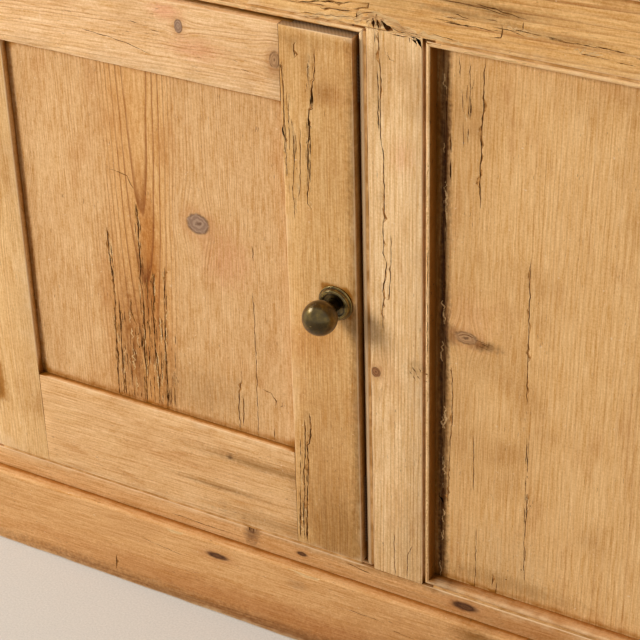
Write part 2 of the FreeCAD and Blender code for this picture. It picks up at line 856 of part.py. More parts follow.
def butt_hinge(low):
    """One butt hinge of the left door, from its lower end: two leaves, their screws and the pin."""
    axis_x = -stile_inner + S.door_gap / 2
    axis_y = door_front - S.knuckle_radius
    third = S.hinge_height / 3
    barrel = S.hinge_pin_radius + S.pin_play
    deep = (axis_y, axis_y + S.leaf_width)
    upright = (low, low + S.hinge_height)
    frame_face = axis_x - S.leaf_stand
    door_face = axis_x + S.leaf_stand
    plates = {
        "frame": board((frame_face - S.leaf_thickness, frame_face), deep, upright),
        "door": board((door_face, door_face + S.leaf_thickness), deep, upright),
    }
    centre = (door_back + face) / 2
    screws = {"frame": [], "door": []}
    for index in range(HINGE_SCREWS):
        height = low + S.hinge_height * (index + 0.5) / HINGE_SCREWS
        screws["frame"].append(hinge_screw(frame_face, centre, height, -1))
        screws["door"].append(hinge_screw(door_face, centre, height, 1))
    thirds = {"frame": (0, 2), "door": (1,)}
    leaves = {}
    for owner, other in (("frame", "door"), ("door", "frame")):
        own = []
        for index in thirds[owner]:
            start = (axis_x, axis_y, low + third * index + S.knuckle_gap / 2)
            own.append(rod("z", start, S.knuckle_radius, third - S.knuckle_gap))
        clear = []
        for index in thirds[other]:
            start = (axis_x, axis_y, low + third * index - S.knuckle_gap / 2)
            clear.append(rod("z", start, S.knuckle_radius + S.knuckle_gap, third + S.knuckle_gap))
        bore = rod("z", (axis_x, axis_y, low), barrel, S.hinge_height)
        leaves[owner] = cut(fuse(cut(plates[owner], *clear), *own), bore, *screws[owner])
    return {
        "frame_plate": plates["frame"],
        "door_plate": plates["door"],
        "frame_screws": screws["frame"],
        "door_screws": screws["door"],
        "frame_leaf": leaves["frame"],
        "door_leaf": leaves["door"],
        "pin": rod("z", (axis_x, axis_y, low), S.hinge_pin_radius, S.hinge_height),
    }


def hinge_pieces():
    frame_parts = [part for hinge in hinges for part in (hinge["frame_leaf"], *hinge["frame_screws"])]
    node("hinge_frame_leaves", group(*frame_parts, *[mirrored(part) for part in frame_parts]))
    pins = [hinge["pin"] for hinge in hinges]
    node("hinge_pins", group(*pins, *[mirrored(part) for part in pins]))
    door_parts = [part for hinge in hinges for part in (hinge["door_leaf"], *hinge["door_screws"])]
    node("hinge_door_leaves_left", group(*door_parts))
    node("hinge_door_leaves_right", mirrored(nodes["hinge_door_leaves_left"]))


def knob_outline(bore, depth):
    """A ball on a neck, bored from the back for its spindle or stem."""
    inset = (S.knob_radius * S.knob_radius - S.knob_neck_radius * S.knob_neck_radius).root()
    rise = S.knob_standoff - inset
    return [
        (bore, S.turning_gap),
        (S.knob_neck_radius, S.turning_gap),
        (S.knob_neck_radius, rise),
        (
            NOUGHT,
            S.knob_standoff + S.knob_radius,
            (NOUGHT, S.knob_standoff),
            (S.knob_radius, S.knob_standoff),
        ),
        (NOUGHT, depth),
        (bore, depth),
    ]


def rose_outline():
    """A stepped rose with a dished middle round the knob's neck."""
    bore = S.knob_neck_radius + S.turning_gap
    rim = [(S.rose_radius * across, S.rose_height * out) for across, out in ROSE_SHARES]
    return [(bore, NOUGHT), *rim, (bore, S.rose_height * ROSE_SHARES[-1][1])]


def door_pieces():
    """The left door: haunched and through tenoned frame, flat panel, turning knob and latch."""
    left = -stile_inner + S.door_gap
    right = -post_outer - S.door_gap
    low = opening_low + S.door_gap
    high = opening_high - S.door_gap
    deep = (door_front, door_back)
    panel_front = door_front + S.door_panel_recess
    groove_deep = (panel_front, panel_front + S.panel_thickness)
    inner_left = left + S.door_stile_width
    inner_right = right - S.door_stile_width
    sill = low + S.door_bottom_rail
    lintel = high - S.door_top_rail

    def rail(name, outer, inner, upward):
        shoulder = outer + S.door_haunch * upward
        inset = inner - groove_depth * upward
        pairs = ((outer, inner), (shoulder, inset), (inset, inner))
        spans = [sorted(pair, key=value_of) for pair in pairs]
        body = board((inner_left, inner_right), deep, spans[0])
        haunch = board((inner_left - groove_depth, inner_right + groove_depth), groove_deep, spans[0])
        tenon = board((left, right), groove_deep, spans[1])
        across = (inner_left - groove_depth, inner_right + groove_depth)
        groove = board(across, groove_deep, spans[2])
        node(name, cut(fuse(body, haunch, tenon), groove, *fittings))
        return tenon

    fittings = [part for hinge in hinges for part in (hinge["door_plate"], *hinge["door_screws"])]
    tenons = [rail("door_left_top_rail", high, lintel, -1), rail("door_left_bottom_rail", low, sill, 1)]

    def stile(edge, groove_across, *holes):
        groove = board(groove_across, groove_deep, (low, high))
        return cut(board(edge, deep, (low, high)), groove, *tenons, *holes)

    hung = stile((left, inner_left), (inner_left - groove_depth, inner_left), *fittings)
    node("door_left_hinge_stile", hung)

    knob_x = -post_outer - S.knob_from_edge
    centre = (knob_x, door_front, S.knob_height)
    hole = rod("y", centre, S.spindle_radius + S.turning_gap, S.door_thickness)
    locked = stile((inner_right, right), (inner_right, inner_right + groove_depth), hole)
    node("door_left_lock_stile", locked)

    across = (inner_left - S.panel_entry, inner_right + S.panel_entry)
    upright = (sill - S.panel_entry, lintel + S.panel_entry)
    node("door_left_panel", board(across, groove_deep, upright))

    node("rose_left", turning("RoseLeft", rose_outline(), *centre))
    node("knob_left", turning("KnobLeft", knob_outline(S.spindle_radius, S.knob_socket_depth), *centre))
    node("latch_left", latch(knob_x))
    halves = ("hinge_stile", "lock_stile", "top_rail", "bottom_rail", "panel")
    for half in halves:
        node(f"door_right_{half}", mirrored(nodes[f"door_left_{half}"]))
    for fitting in ("rose", "knob", "latch"):
        node(f"{fitting}_right", mirrored(nodes[f"{fitting}_left"]))


def latch(x):
    """The spindle of the turning knob, its collar, and the tongue that turns behind the post."""
    z = S.knob_height
    tongue_front = frame_back + S.latch_gap
    tongue_back = tongue_front + S.latch_thickness
    collar_front = door_back + S.turning_gap
    spindle_front = door_front - S.knob_socket_depth
    spindle_end = tongue_back + S.latch_nut_height
    spindle = rod("y", (x, spindle_front, z), S.spindle_radius, spindle_end - spindle_front)
    collar = rod("y", (x, collar_front, z), S.latch_collar_radius, tongue_front - collar_front)
    tip = z - S.latch_reach
    outline = [
        (x - S.latch_head_radius, z, (x, z), (x, z + S.latch_head_radius)),
        (x - S.latch_tip_radius, tip),
        (x + S.latch_tip_radius, tip, (x, tip), (x, tip - S.latch_tip_radius)),
        (x + S.latch_head_radius, z),
    ]
    tongue = prism("y", outline, (tongue_front, tongue_back))
    nut = hexagon_nut(x, tongue_back, z, S.latch_nut_height)
    return group(fuse(spindle, collar), cut(tongue, spindle), cut(nut, spindle))


def hexagon_nut(x, y, z, height):
    nut = doc.addObject("Part::Prism", "Nut")
    nut.Polygon = 6
    nut.Placement = FreeCAD.Placement(FreeCAD.Vector(), ROD_TURNS["y"])
    bind(nut, "Circumradius", S.nut_radius)
    bind(nut, "Height", height)
    return place(nut, x, y, z)


def drawer_pieces(name, left, right):
    """One drawer: lapped dovetails at the front, grooved bottom, housed back and two knobs."""
    front_deep = (door_front, door_front + S.drawer_front_thickness)
    across = (left + S.drawer_gap, right - S.drawer_gap)
    upright = (drawer_low + S.drawer_gap, drawer_high - S.drawer_gap)
    low = drawer_low + S.drawer_lift
    high = low + S.drawer_side_height
    rear = door_front + S.drawer_depth
    tail_tip = door_front + S.drawer_lap
    root = front_deep[1]

    outline = [(rear, low), (root, low)]
    pitch = S.drawer_side_height / DRAWER_TAILS
    for index in range(DRAWER_TAILS):
        middle = low + pitch * (index + 0.5)
        root_half = pitch * TAIL_SHARES[0] / 2
        tip_half = pitch * TAIL_SHARES[1] / 2
        outline += [
            (root, middle - root_half),
            (tail_tip, middle - tip_half),
            (tail_tip, middle + tip_half),
            (root, middle + root_half),
        ]
    outline += [(root, high), (rear, high)]

    inner = (across[0] + S.drawer_side_thickness, across[1] - S.drawer_side_thickness)
    grooved = (inner[0] - S.drawer_groove, inner[1] + S.drawer_groove)
    bottom_low = low + S.drawer_bottom_rise
    bottom_high = bottom_low + S.drawer_bottom_thickness
    bottom = board(grooved, (root - S.drawer_groove, rear), (bottom_low, bottom_high))
    back_deep = (rear - S.drawer_back_inset - S.drawer_side_thickness, rear - S.drawer_back_inset)
    behind = board(grooved, back_deep, (bottom_high, high - S.drawer_back_drop))
    sides = [
        cut(prism("x", outline, (across[0], inner[0])), bottom, behind),
        cut(prism("x", outline, (inner[1], across[1])), bottom, behind),
    ]
    stems = []
    pulls = []
    height = (drawer_low + drawer_high) / 2
    for share in DRAWER_KNOB_SHARES:
        x = left + (right - left) * share
        inside = root + S.turning_gap
        stem_front = door_front - S.knob_socket_depth
        stem_length = inside + S.latch_nut_height - stem_front
        stem = rod("y", (x, stem_front, height), S.spindle_radius, stem_length)
        nut = cut(hexagon_nut(x, root, height, S.latch_nut_height), stem)
        title = name.title().replace("_", "")
        outline = knob_outline(S.spindle_radius, S.knob_socket_depth)
        ball = turning(f"{title}Knob", outline, x, door_front, height)
        rose = turning(f"{title}Rose", rose_outline(), x, door_front, height)
        stems.append(stem)
        pulls += [ball, rose, stem, nut]
    plank = board(across, front_deep, upright)
    node(f"{name}_front", cut(plank, *sides, bottom, *stems))
    node(f"{name}_box", group(*sides, behind, bottom))
    node(f"{name}_knobs", group(*pulls))


hinge_levels = (
    opening_low + S.door_gap + S.hinge_inset,
    opening_high - S.door_gap - S.hinge_inset - S.hinge_height,
)
hinges = [butt_hinge(level) for level in hinge_levels]
frame_pieces()
plinth_pieces()
carcass_pieces()
rack_pieces()
hinge_pieces()
door_pieces()
for drawer, (left_edge, right_edge) in drawer_openings.items():
    drawer_pieces(drawer, left_edge, right_edge)

doc.recompute()
faults = [part.Label for part in doc.Objects if {"Invalid", "Error"} & set(part.State)]
for name, piece in nodes.items():
    if piece.Shape.isNull() or not piece.Shape.isValid():
        faults.append(name)
if faults:
    raise RuntimeError(f"not built: {faults}")

os.makedirs("parts", exist_ok=True)
for name, piece in nodes.items():
    piece.Shape.exportStep(os.path.join("parts", f"{name}.step"))
print(len(nodes), "pieces")
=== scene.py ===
import json
import math
import random

import bmesh
import bpy
from mathutils import Matrix, Vector, noise
from mathutils.bvhtree import BVHTree
from mathutils.kdtree import KDTree


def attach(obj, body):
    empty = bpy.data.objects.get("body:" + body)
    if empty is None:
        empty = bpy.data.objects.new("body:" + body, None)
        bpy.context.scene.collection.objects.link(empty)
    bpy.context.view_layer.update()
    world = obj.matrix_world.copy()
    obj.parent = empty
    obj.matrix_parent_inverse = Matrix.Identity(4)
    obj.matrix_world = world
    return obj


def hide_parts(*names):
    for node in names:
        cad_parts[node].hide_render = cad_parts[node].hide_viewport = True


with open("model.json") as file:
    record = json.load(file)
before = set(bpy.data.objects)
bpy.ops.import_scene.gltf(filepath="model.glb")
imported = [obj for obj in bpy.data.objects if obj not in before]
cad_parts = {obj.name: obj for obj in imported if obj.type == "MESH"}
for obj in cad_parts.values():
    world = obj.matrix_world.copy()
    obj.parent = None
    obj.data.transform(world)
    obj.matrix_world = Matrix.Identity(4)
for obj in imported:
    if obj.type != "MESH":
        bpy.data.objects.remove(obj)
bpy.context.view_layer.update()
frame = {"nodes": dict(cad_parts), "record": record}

nodes = frame["nodes"]
record = frame["record"]
body_of = {n: body for body, members in record["behaviour"]["bodies"].items() for n in members}
slot_of = {piece["node"]: piece["material_slot"] for piece in record["subparts"]}
scene = bpy.context.scene


def srgb(red, green, blue):
    """A colour written as it is seen, from 0 to 255, as the shader wants it."""
    shown = [channel / 255 for channel in (red, green, blue)]
    return [c / 12.92 if c <= 0.04045 else ((c + 0.055) / 1.055) ** 2.4 for c in shown] + [1.0]


# Shader graphs

class Graph:
    """Short calls that add shader nodes and join them."""

    def __init__(self, tree):
        self.tree = tree

    def node(self, kind, settings=(), **inputs):
        """A new node, with its sockets by name and _ for a space. Returns its outputs."""
        node = self.tree.nodes.new("ShaderNode" + kind)
        for key, value in dict(settings).items():
            setattr(node, key, value)
        for key, value in inputs.items():
            self.feed(node.inputs[key.replace("_", " ")], value)
        return node.outputs

    def add(self, kind, *inputs, **settings):
        """A new node, with its sockets in order. Returns its first output."""
        outputs = self.node(kind, settings)
        for socket, value in zip(outputs[0].node.inputs, inputs):
            self.feed(socket, value)
        return outputs[0]

    def feed(self, socket, value):
        if isinstance(value, bpy.types.NodeSocket):
            self.tree.links.new(value, socket)
        elif value is not None:
            socket.default_value = value

    def math(self, operation, *values):
        return self.add("Math", *values, operation=operation)

    def plus(self, *values):
        total = values[0]
        for value in values[1:]:
            total = self.math("ADD", total, value)
        return total

    def times(self, *values):
        total = values[0]
        for value in values[1:]:
            total = self.math("MULTIPLY", total, value)
        return total

    def ramp(self, value, low, high, out_low=0.0, out_high=1.0):
        """A smooth step between two values."""
        return self.add("MapRange", value, low, high, out_low, out_high, interpolation_type="SMOOTHSTEP")

    def mix(self, factor, first, second, blend="MIX"):
        settings = {"data_type": "RGBA", "blend_type": blend}
        return self.node("Mix", settings, Factor=factor, A=first, B=second)["Result"]

    def vector(self, x, y, z):
        return self.add("CombineXYZ", x, y, z)

    def noise(self, vector, scale, detail=2.0, rough=0.5):
        """A noise about nought, from -0.5 to 0.5."""
        made = self.node("TexNoise", Vector=vector, Scale=scale, Detail=detail, Roughness=rough)
        return self.math("SUBTRACT", made["Fac"], 0.5)

    def drawn_out(self, axes, wide, long, detail=2.0, rough=0.5):
        """A noise drawn out along a board. axes are its coordinates across, deep and along."""
        across, deep, along = axes
        stretched = self.vector(self.times(across, wide), self.times(deep, wide), self.times(along, long))
        return self.noise(stretched, 1.0, detail, rough)

    def place(self):
        """The place of a point in the object's own coordinates."""
        return self.node("TexCoord")["Object"]

    def bump(self, height, strength, distance):
        return self.node("Bump", Height=height, Strength=strength, Distance=distance)["Normal"]

    def surface(self, color, roughness, **others):
        """The main shader."""
        return self.node("BsdfPrincipled", Base_Color=color, Roughness=roughness, **others)[0]

    def show(self, shader, kind="Material"):
        """Joins a shader to the graph's output."""
        self.node("Output" + kind, Surface=shader)

    def attribute(self, name, out="Fac"):
        return self.node("Attribute", {"attribute_name": name})[out]

    def separate(self, vector):
        return self.node("SeparateXYZ", Vector=vector)[:]

    def group(self, name, **inputs):
        return self.node("Group", {"node_tree": bpy.data.node_groups[name]}, **inputs)


def node_group(name, inputs, outputs):
    """A new shader group with float, vector and colour sockets: its graph, its inputs and its results."""
    tree = bpy.data.node_groups.new(name, "ShaderNodeTree")
    kinds = {"f": "NodeSocketFloat", "v": "NodeSocketVector", "c": "NodeSocketColor"}
    for key, kind in inputs.items():
        tree.interface.new_socket(key, in_out="INPUT", socket_type=kinds[kind])
    for key, kind in outputs.items():
        tree.interface.new_socket(key, in_out="OUTPUT", socket_type=kinds[kind])
    given = tree.nodes.new("NodeGroupInput").outputs
    result = tree.nodes.new("NodeGroupOutput").inputs
    return Graph(tree), given, result


def build_spot_group():
    """How far a point lies inside an oval spot, and how the grain bends round it."""
    g, given, result = node_group(
        "Spot",
        {"Along": "f", "Across": "f", "Along0": "f", "Across0": "f", "LengthHalf": "f", "WidthHalf": "f",
         "Soft": "f", "Rough": "f", "Bend": "f"},
        {"Mask": "f", "Distance": "f", "Flow": "f"},
    )
    along = g.math("SUBTRACT", given["Along"], given["Along0"])
    across = g.math("SUBTRACT", given["Across"], given["Across0"])
    u = g.math("DIVIDE", along, given["LengthHalf"])
    v = g.math("DIVIDE", across, given["WidthHalf"])
    plain = g.math("SQRT", g.plus(g.times(u, u), g.times(v, v)))
    wobble = g.noise(g.vector(g.times(across, 260.0), g.times(along, 260.0), 0.3), 1.0, 3.0)
    distance = g.plus(plain, g.times(wobble, given["Rough"]))
    low = g.math("SUBTRACT", 1.0, given["Soft"])
    high = g.math("ADD", 1.0, given["Soft"])
    g.feed(result["Mask"], g.ramp(distance, low, high, 1.0, 0.0))
    g.feed(result["Distance"], distance)
    u = g.times(u, 0.33)
    v = g.times(v, 0.62)
    fall = g.math("EXPONENT", g.times(g.plus(g.times(u, u), g.times(v, v)), -1.0))
    g.feed(result["Flow"], g.times(across, fall, given["Bend"], -1.0))


def build_grain_group():
    """Growth rings, fibres, flecks and blotches of a board, from its own coordinates."""
    g, given, result = node_group(
        "Grain",
        {"Board": "v", "Flow": "f", "Spacing": "f", "Narrowing": "f", "Light": "c", "Late": "c",
         "Contrast": "f", "Heart": "f"},
        {"Color": "c", "Height": "f", "Streak": "f"},
    )
    a, d, length = g.separate(given["Board"])
    a = g.plus(a, given["Flow"])
    axes = (a, d, length)
    slow = g.drawn_out(axes, 7.0, 1.6)
    quick = g.drawn_out(axes, 46.0, 9.0, 3.0)
    radius = g.math("SQRT", g.plus(g.times(a, a), g.times(d, d)))
    plain = radius
    radius = g.plus(radius, g.times(slow, 0.016), g.times(quick, 0.0026))
    uneven = g.noise(g.vector(g.times(radius, 60.0), 0.0, 0.0), 1.0, 2.0)
    phase = g.plus(radius, g.times(radius, radius, given["Narrowing"]), g.times(uneven, 0.008))
    part = g.math("FRACT", g.math("DIVIDE", phase, given["Spacing"]))
    rise = g.ramp(part, 0.48, 0.93)
    fall = g.ramp(part, 0.94, 1.0, 1.0, 0.0)
    strength = g.ramp(g.noise(g.vector(g.times(radius, 130.0), 7.0, 0.0), 1.0, 1.0), -0.25, 0.25, 0.15, 1.0)
    faint = g.ramp(g.drawn_out(axes, 14.0, 5.0, 3.0), -0.2, 0.2, 0.45, 1.1)
    rings = g.times(rise, fall, strength, faint)
    fibre = g.drawn_out(axes, 760.0, 30.0, 3.0, 0.75)
    streak = g.drawn_out(axes, 300.0, 10.0, 3.0, 0.65)
    grit = g.noise(given["Board"], 480.0, 3.0, 0.8)
    pore = g.ramp(g.drawn_out(axes, 760.0, 120.0), 0.155, 0.225)
    pore = g.times(pore, g.ramp(g.noise(given["Board"], 34.0, 2.0), -0.08, 0.14, 0.12, 1.0))
    spot = g.ramp(g.noise(given["Board"], 300.0, 1.0, 0.4), 0.265, 0.30)
    blotch = g.noise(given["Board"], 9.0, 3.0, 0.6)
    scuff = g.drawn_out(axes, 30.0, 11.0, 4.0, 0.65)
    heart = g.times(g.ramp(plain, 0.050, 0.026), given["Heart"])
    clear = g.ramp(faint, 0.45, 1.0, 0.55, 1.0)
    line = g.times(g.ramp(part, 0.62, 0.90), g.ramp(part, 0.90, 0.98, 1.0, 0.0), clear)
    color = g.mix(g.times(rings, given["Contrast"]), given["Light"], given["Late"])
    color = g.mix(g.times(heart, 0.55), color, srgb(222, 164, 96))
    color = g.mix(g.times(heart, line), color, srgb(144, 86, 40))
    color = g.mix(g.ramp(scuff, 0.02, 0.28, 0.0, 0.65), color, srgb(194, 136, 78))
    color = g.mix(g.ramp(scuff, -0.05, -0.28, 0.0, 0.45), color, srgb(232, 188, 132))
    color = g.mix(g.ramp(blotch, 0.04, 0.28, 0.0, 0.50), color, srgb(186, 134, 78))
    bright = g.plus(1.0, g.times(fibre, 1.40), g.times(streak, 0.60), g.times(grit, 0.92),
                    g.times(blotch, -0.16))
    # Dark fibres are warmer than pale ones
    warm = g.vector(g.plus(g.times(bright, 0.60), 0.40), bright, g.plus(g.times(bright, 1.70), -0.70))
    color = g.mix(1.0, color, warm, "MULTIPLY")
    color = g.mix(g.times(pore, 0.55), color, srgb(116, 70, 34))
    color = g.mix(g.times(spot, 0.55), color, srgb(240, 212, 176))
    g.feed(result["Color"], color)
    g.feed(result["Height"], g.plus(g.times(rings, 0.5), fibre, g.times(pore, -0.9), g.times(grit, 0.4)))
    g.feed(result["Streak"], streak)


# The pale of worn arrises, also used as painted light on the left post's beads
WORN_AND_PAINTED_PALE = srgb(240, 205, 160)
# Painted shade with some dirt: a brown for hollows and joints, a glaze and a brown for sheltered places; the
# specks are dirt
HOLLOW_DIRT_AND_SHADE = srgb(104, 66, 34)
SHADE_AND_GRIME_GLAZE = (0.84, 0.62, 0.32, 1.0)
SHADE_AND_GRIME_BROWN, GRIME_SPECK = srgb(122, 74, 14), srgb(70, 44, 16)
END_PALE, END_DEEP = srgb(150, 124, 96), srgb(104, 80, 58)


def finish_pine(g, color, height):
    """Wear on the arrises, with painted light on the left post's beads, painted shade with some dirt in the
    hollows and sheltered places, end grain and the surface itself.
    """
    board = g.attribute("board", "Vector")
    tone = g.attribute("tone")
    end = g.attribute("end")
    shade = g.plus(1.0, g.times(g.attribute("plank"), 0.08))
    color = g.mix(1.0, color, g.vector(shade, shade, g.plus(g.times(shade, 1.3), -0.3)), "MULTIPLY")
    patch = g.noise(board, 55.0, 3.0, 0.6)
    # Worn arrises turn pale, and the left post's beads take painted light here too
    worn = g.ramp(g.plus(tone, g.times(patch, 0.9)), 0.25, 0.95, 0.0, 0.75)
    color = g.mix(worn, color, WORN_AND_PAINTED_PALE)
    # Painted shade with some dirt in hollows and where an arris meets another piece
    hollow_dirt_and_shade = g.ramp(g.plus(tone, g.times(patch, 0.5)), -0.10, -0.85, 0.0, 0.85)
    color = g.mix(hollow_dirt_and_shade, color, HOLLOW_DIRT_AND_SHADE)
    # Painted shade with some dirt in sheltered places: tinted, browned and specked with dark dirt
    shade_and_grime = g.attribute("shade_and_grime")
    speck = g.noise(board, 170.0, 3.0, 0.65)
    shade_and_grime_mask = g.ramp(g.plus(shade_and_grime, g.times(patch, 0.22), g.times(speck, 0.16)), 0.12, 0.60, 0.0, 0.88)
    color = g.mix(g.ramp(shade_and_grime_mask, 0.0, 0.5), color, SHADE_AND_GRIME_GLAZE, "MULTIPLY")
    color = g.mix(shade_and_grime_mask, color, SHADE_AND_GRIME_BROWN)
    color = g.mix(g.times(shade_and_grime_mask, g.ramp(speck, 0.13, 0.24)), color, GRIME_SPECK)
    across, deep, _ = g.separate(board)
    saw = g.math("SINE", g.plus(g.times(across, 1900.0), g.times(deep, 1300.0), g.times(patch, 5.0)))
    grey = g.mix(g.ramp(saw, -0.4, 0.6, 0.25, 0.8), END_PALE, END_DEEP)
    color = g.mix(g.times(end, 0.75), color, grey)
    roughness = g.ramp(g.noise(board, 22.0, 3.0), -0.3, 0.3, 0.40, 0.58)
    normal = g.bump(g.plus(height, g.times(patch, 0.8)), 0.55, 0.00022)
    g.show(g.surface(color, roughness, Specular_IOR_Level=0.16, Normal=normal))


def new_material(name):
    material = bpy.data.materials.new(name)
    material.use_nodes = True
    material.node_tree.nodes.clear()
    return material, Graph(material.node_tree)


LIGHT = srgb(228, 182, 124)
LATE = srgb(186, 130, 76)
# The wood's colour that stains are given for
UNDER_STAINS = srgb(222, 174, 120)
# A knot's pale and deep rings and its rim, then how soft and how uneven its outline is
KNOT_KINDS = {
    "grey": (srgb(172, 140, 114), srgb(146, 114, 92), srgb(108, 76, 54), 0.16, 0.30),
    "faint": (srgb(192, 148, 104), srgb(168, 124, 84), srgb(98, 66, 40), 0.22, 0.42),
    "brown": (srgb(164, 114, 74), srgb(130, 84, 52), srgb(98, 60, 34), 0.16, 0.30),
    "dark": (srgb(104, 68, 42), srgb(78, 48, 28), srgb(122, 78, 44), 0.34, 0.45),
}


# Cells of loose knots to the metre
ACROSS_CELLS, ALONG_CELLS = 9.0, 2.6


def pine(name, light=LIGHT, late=LATE, contrast=0.62, spacing=0.0032, narrowing=0.0, heart=0.0,
         knots=(), stains=(), swap=False, loose=False):
    """Old waxed pine. Knots and stains lie at places on the front, across and up, in millimetres.

    swap says that the grain runs across. loose gives a board without named knots some of its own.
    """
    material, g = new_material(name)
    place = g.place()
    across, _, along = g.separate(place)
    if swap:
        across, along = along, across

    def oval(x, z, half_x, half_z, soft, rough, bend):
        if swap:
            x, z, half_x, half_z = z, x, half_z, half_x
        return g.group("Spot", Along=along, Across=across, Along0=z / 1000, Across0=x / 1000,
                       LengthHalf=half_z / 1000, WidthHalf=half_x / 1000, Soft=soft, Rough=rough, Bend=bend)

    board = g.attribute("board", "Vector")
    spots = []
    flow = 0.0
    for *oval_place, kind in knots:
        spot = oval(*oval_place, *KNOT_KINDS[kind][3:], 0.75)
        spots.append((spot, kind))
        flow = g.plus(spot["Flow"], flow)
    if loose:
        # One place in each cell of a stretched grid, and at some of them a knot
        a, d, length = g.separate(board)
        stretched = g.vector(g.times(a, ACROSS_CELLS), g.times(d, 3.0), g.times(length, ALONG_CELLS))
        cells = g.node("TexVoronoi", Vector=stretched, Scale=1.0)
        spot, lot = g.separate(cells["Position"]), g.separate(cells["Color"])
        aside = g.math("SUBTRACT", g.math("DIVIDE", spot[0], ACROSS_CELLS), a)
        ahead = g.math("SUBTRACT", g.math("DIVIDE", spot[2], ALONG_CELLS), length)
        ahead = g.times(ahead, 0.72)
        size = g.ramp(lot[1], 0.0, 1.0, 0.0045, 0.0105)
        reach = g.math("DIVIDE", g.math("SQRT", g.plus(g.times(aside, aside), g.times(ahead, ahead))), size)
        there = g.ramp(lot[0], 0.48, 0.52, 1.0, 0.0)
        reach = g.plus(reach, g.times(g.noise(board, 190.0, 3.0), 0.7))
        cell_mask = g.times(there, g.ramp(reach, 0.82, 1.16, 1.0, 0.0))
        near = g.math("EXPONENT", g.times(reach, reach, -0.16))
        flow = g.times(aside, near, there, 0.75)
    made = g.group("Grain", Board=board, Flow=flow, Spacing=spacing, Narrowing=narrowing, Light=light,
                   Late=late, Contrast=contrast, Heart=heart)
    color = made["Color"]
    height = made["Height"]
    if loose:
        swirl = g.times(g.noise(board, 140.0, 3.0), 9.0)
        rings = g.ramp(g.math("SINE", g.plus(g.times(reach, 12.0), swirl)), -1.2, 1.2)
        inside = g.mix(rings, srgb(172, 124, 80), srgb(132, 88, 54))
        inside = g.mix(g.ramp(reach, 0.72, 0.98), inside, srgb(98, 62, 36))
        color = g.mix(g.times(there, g.ramp(reach, 2.2, 1.0, 0.0, 0.35)), color, srgb(190, 128, 78))
        color = g.mix(cell_mask, color, inside)
    streaky = g.ramp(made["Streak"], -0.22, 0.18, 0.55, 1.15)
    for *oval_place, tint, strength in stains:
        spot = oval(*oval_place, 0.85, 1.6, 0.0)
        tint = [min(1.0, 1.04 * t / u) for t, u in zip(tint, UNDER_STAINS)]
        color = g.mix(g.times(spot["Mask"], streaky, strength), color, tint, "MULTIPLY")
    for spot, kind in spots:
        pale, deep, rim = KNOT_KINDS[kind][:3]
        swirl = g.noise(board, 140.0, 3.0, 0.6)
        turns = g.plus(g.times(spot["Distance"], 13.0), g.times(swirl, 13.0))
        rings = g.ramp(g.math("SINE", turns), -1.2, 1.2)
        inside = g.mix(rings, pale, deep)
        edge = g.times(g.ramp(spot["Distance"], 0.70, 0.98), g.ramp(swirl, -0.16, 0.06))
        inside = g.mix(edge, inside, rim)
        core = g.ramp(g.plus(spot["Distance"], g.times(swirl, 1.2)), 0.24, 0.06, 0.0, 0.7)
        inside = g.mix(core, inside, rim)
        halo = g.times(g.ramp(g.plus(spot["Distance"], g.times(swirl, 1.6)), 2.3, 1.0), 0.38)
        color = g.mix(halo, color, srgb(190, 130, 80))
        color = g.mix(spot["Mask"], color, inside)
        height = g.plus(height, g.times(spot["Mask"], 0.8))
    finish_pine(g, color, height)
    return material


def metal(name, base, worn, dark, rough_low, rough_high, coat=0.0):
    """Old metal with a patchy skin, brighter where hands and edges wear it."""
    material, g = new_material(name)
    place = g.place()
    patch = g.noise(place, 90.0, 4.0, 0.6)
    fine = g.noise(place, 700.0, 3.0, 0.6)
    tone = g.attribute("tone")
    color = g.mix(g.ramp(patch, -0.15, 0.25), dark, base)
    color = g.mix(g.ramp(g.plus(tone, g.times(patch, 0.8)), 0.15, 0.9, 0.0, 0.9), color, worn)
    color = g.mix(g.ramp(tone, -0.1, -0.8, 0.0, 0.9), color, dark)
    roughness = g.ramp(g.plus(patch, g.times(fine, 0.5)), -0.35, 0.35, rough_low, rough_high)
    g.show(g.surface(color, roughness, Metallic=1.0, Coat_Weight=coat, Coat_Roughness=0.2,
                     Normal=g.bump(g.plus(patch, fine), 0.25, 0.0001)))
    return material


build_spot_group()
build_grain_group()

PANEL_LIGHT = srgb(216, 170, 116)
PANEL_LATE = srgb(180, 126, 74)
DRY_LIGHT = srgb(206, 164, 116)
DRY_LATE = srgb(172, 126, 80)
RED = srgb(205, 128, 88)
BROWN = srgb(150, 104, 50)
GREY = srgb(150, 122, 94)
ORANGE = srgb(184, 118, 48)
DUST = srgb(134, 98, 62)

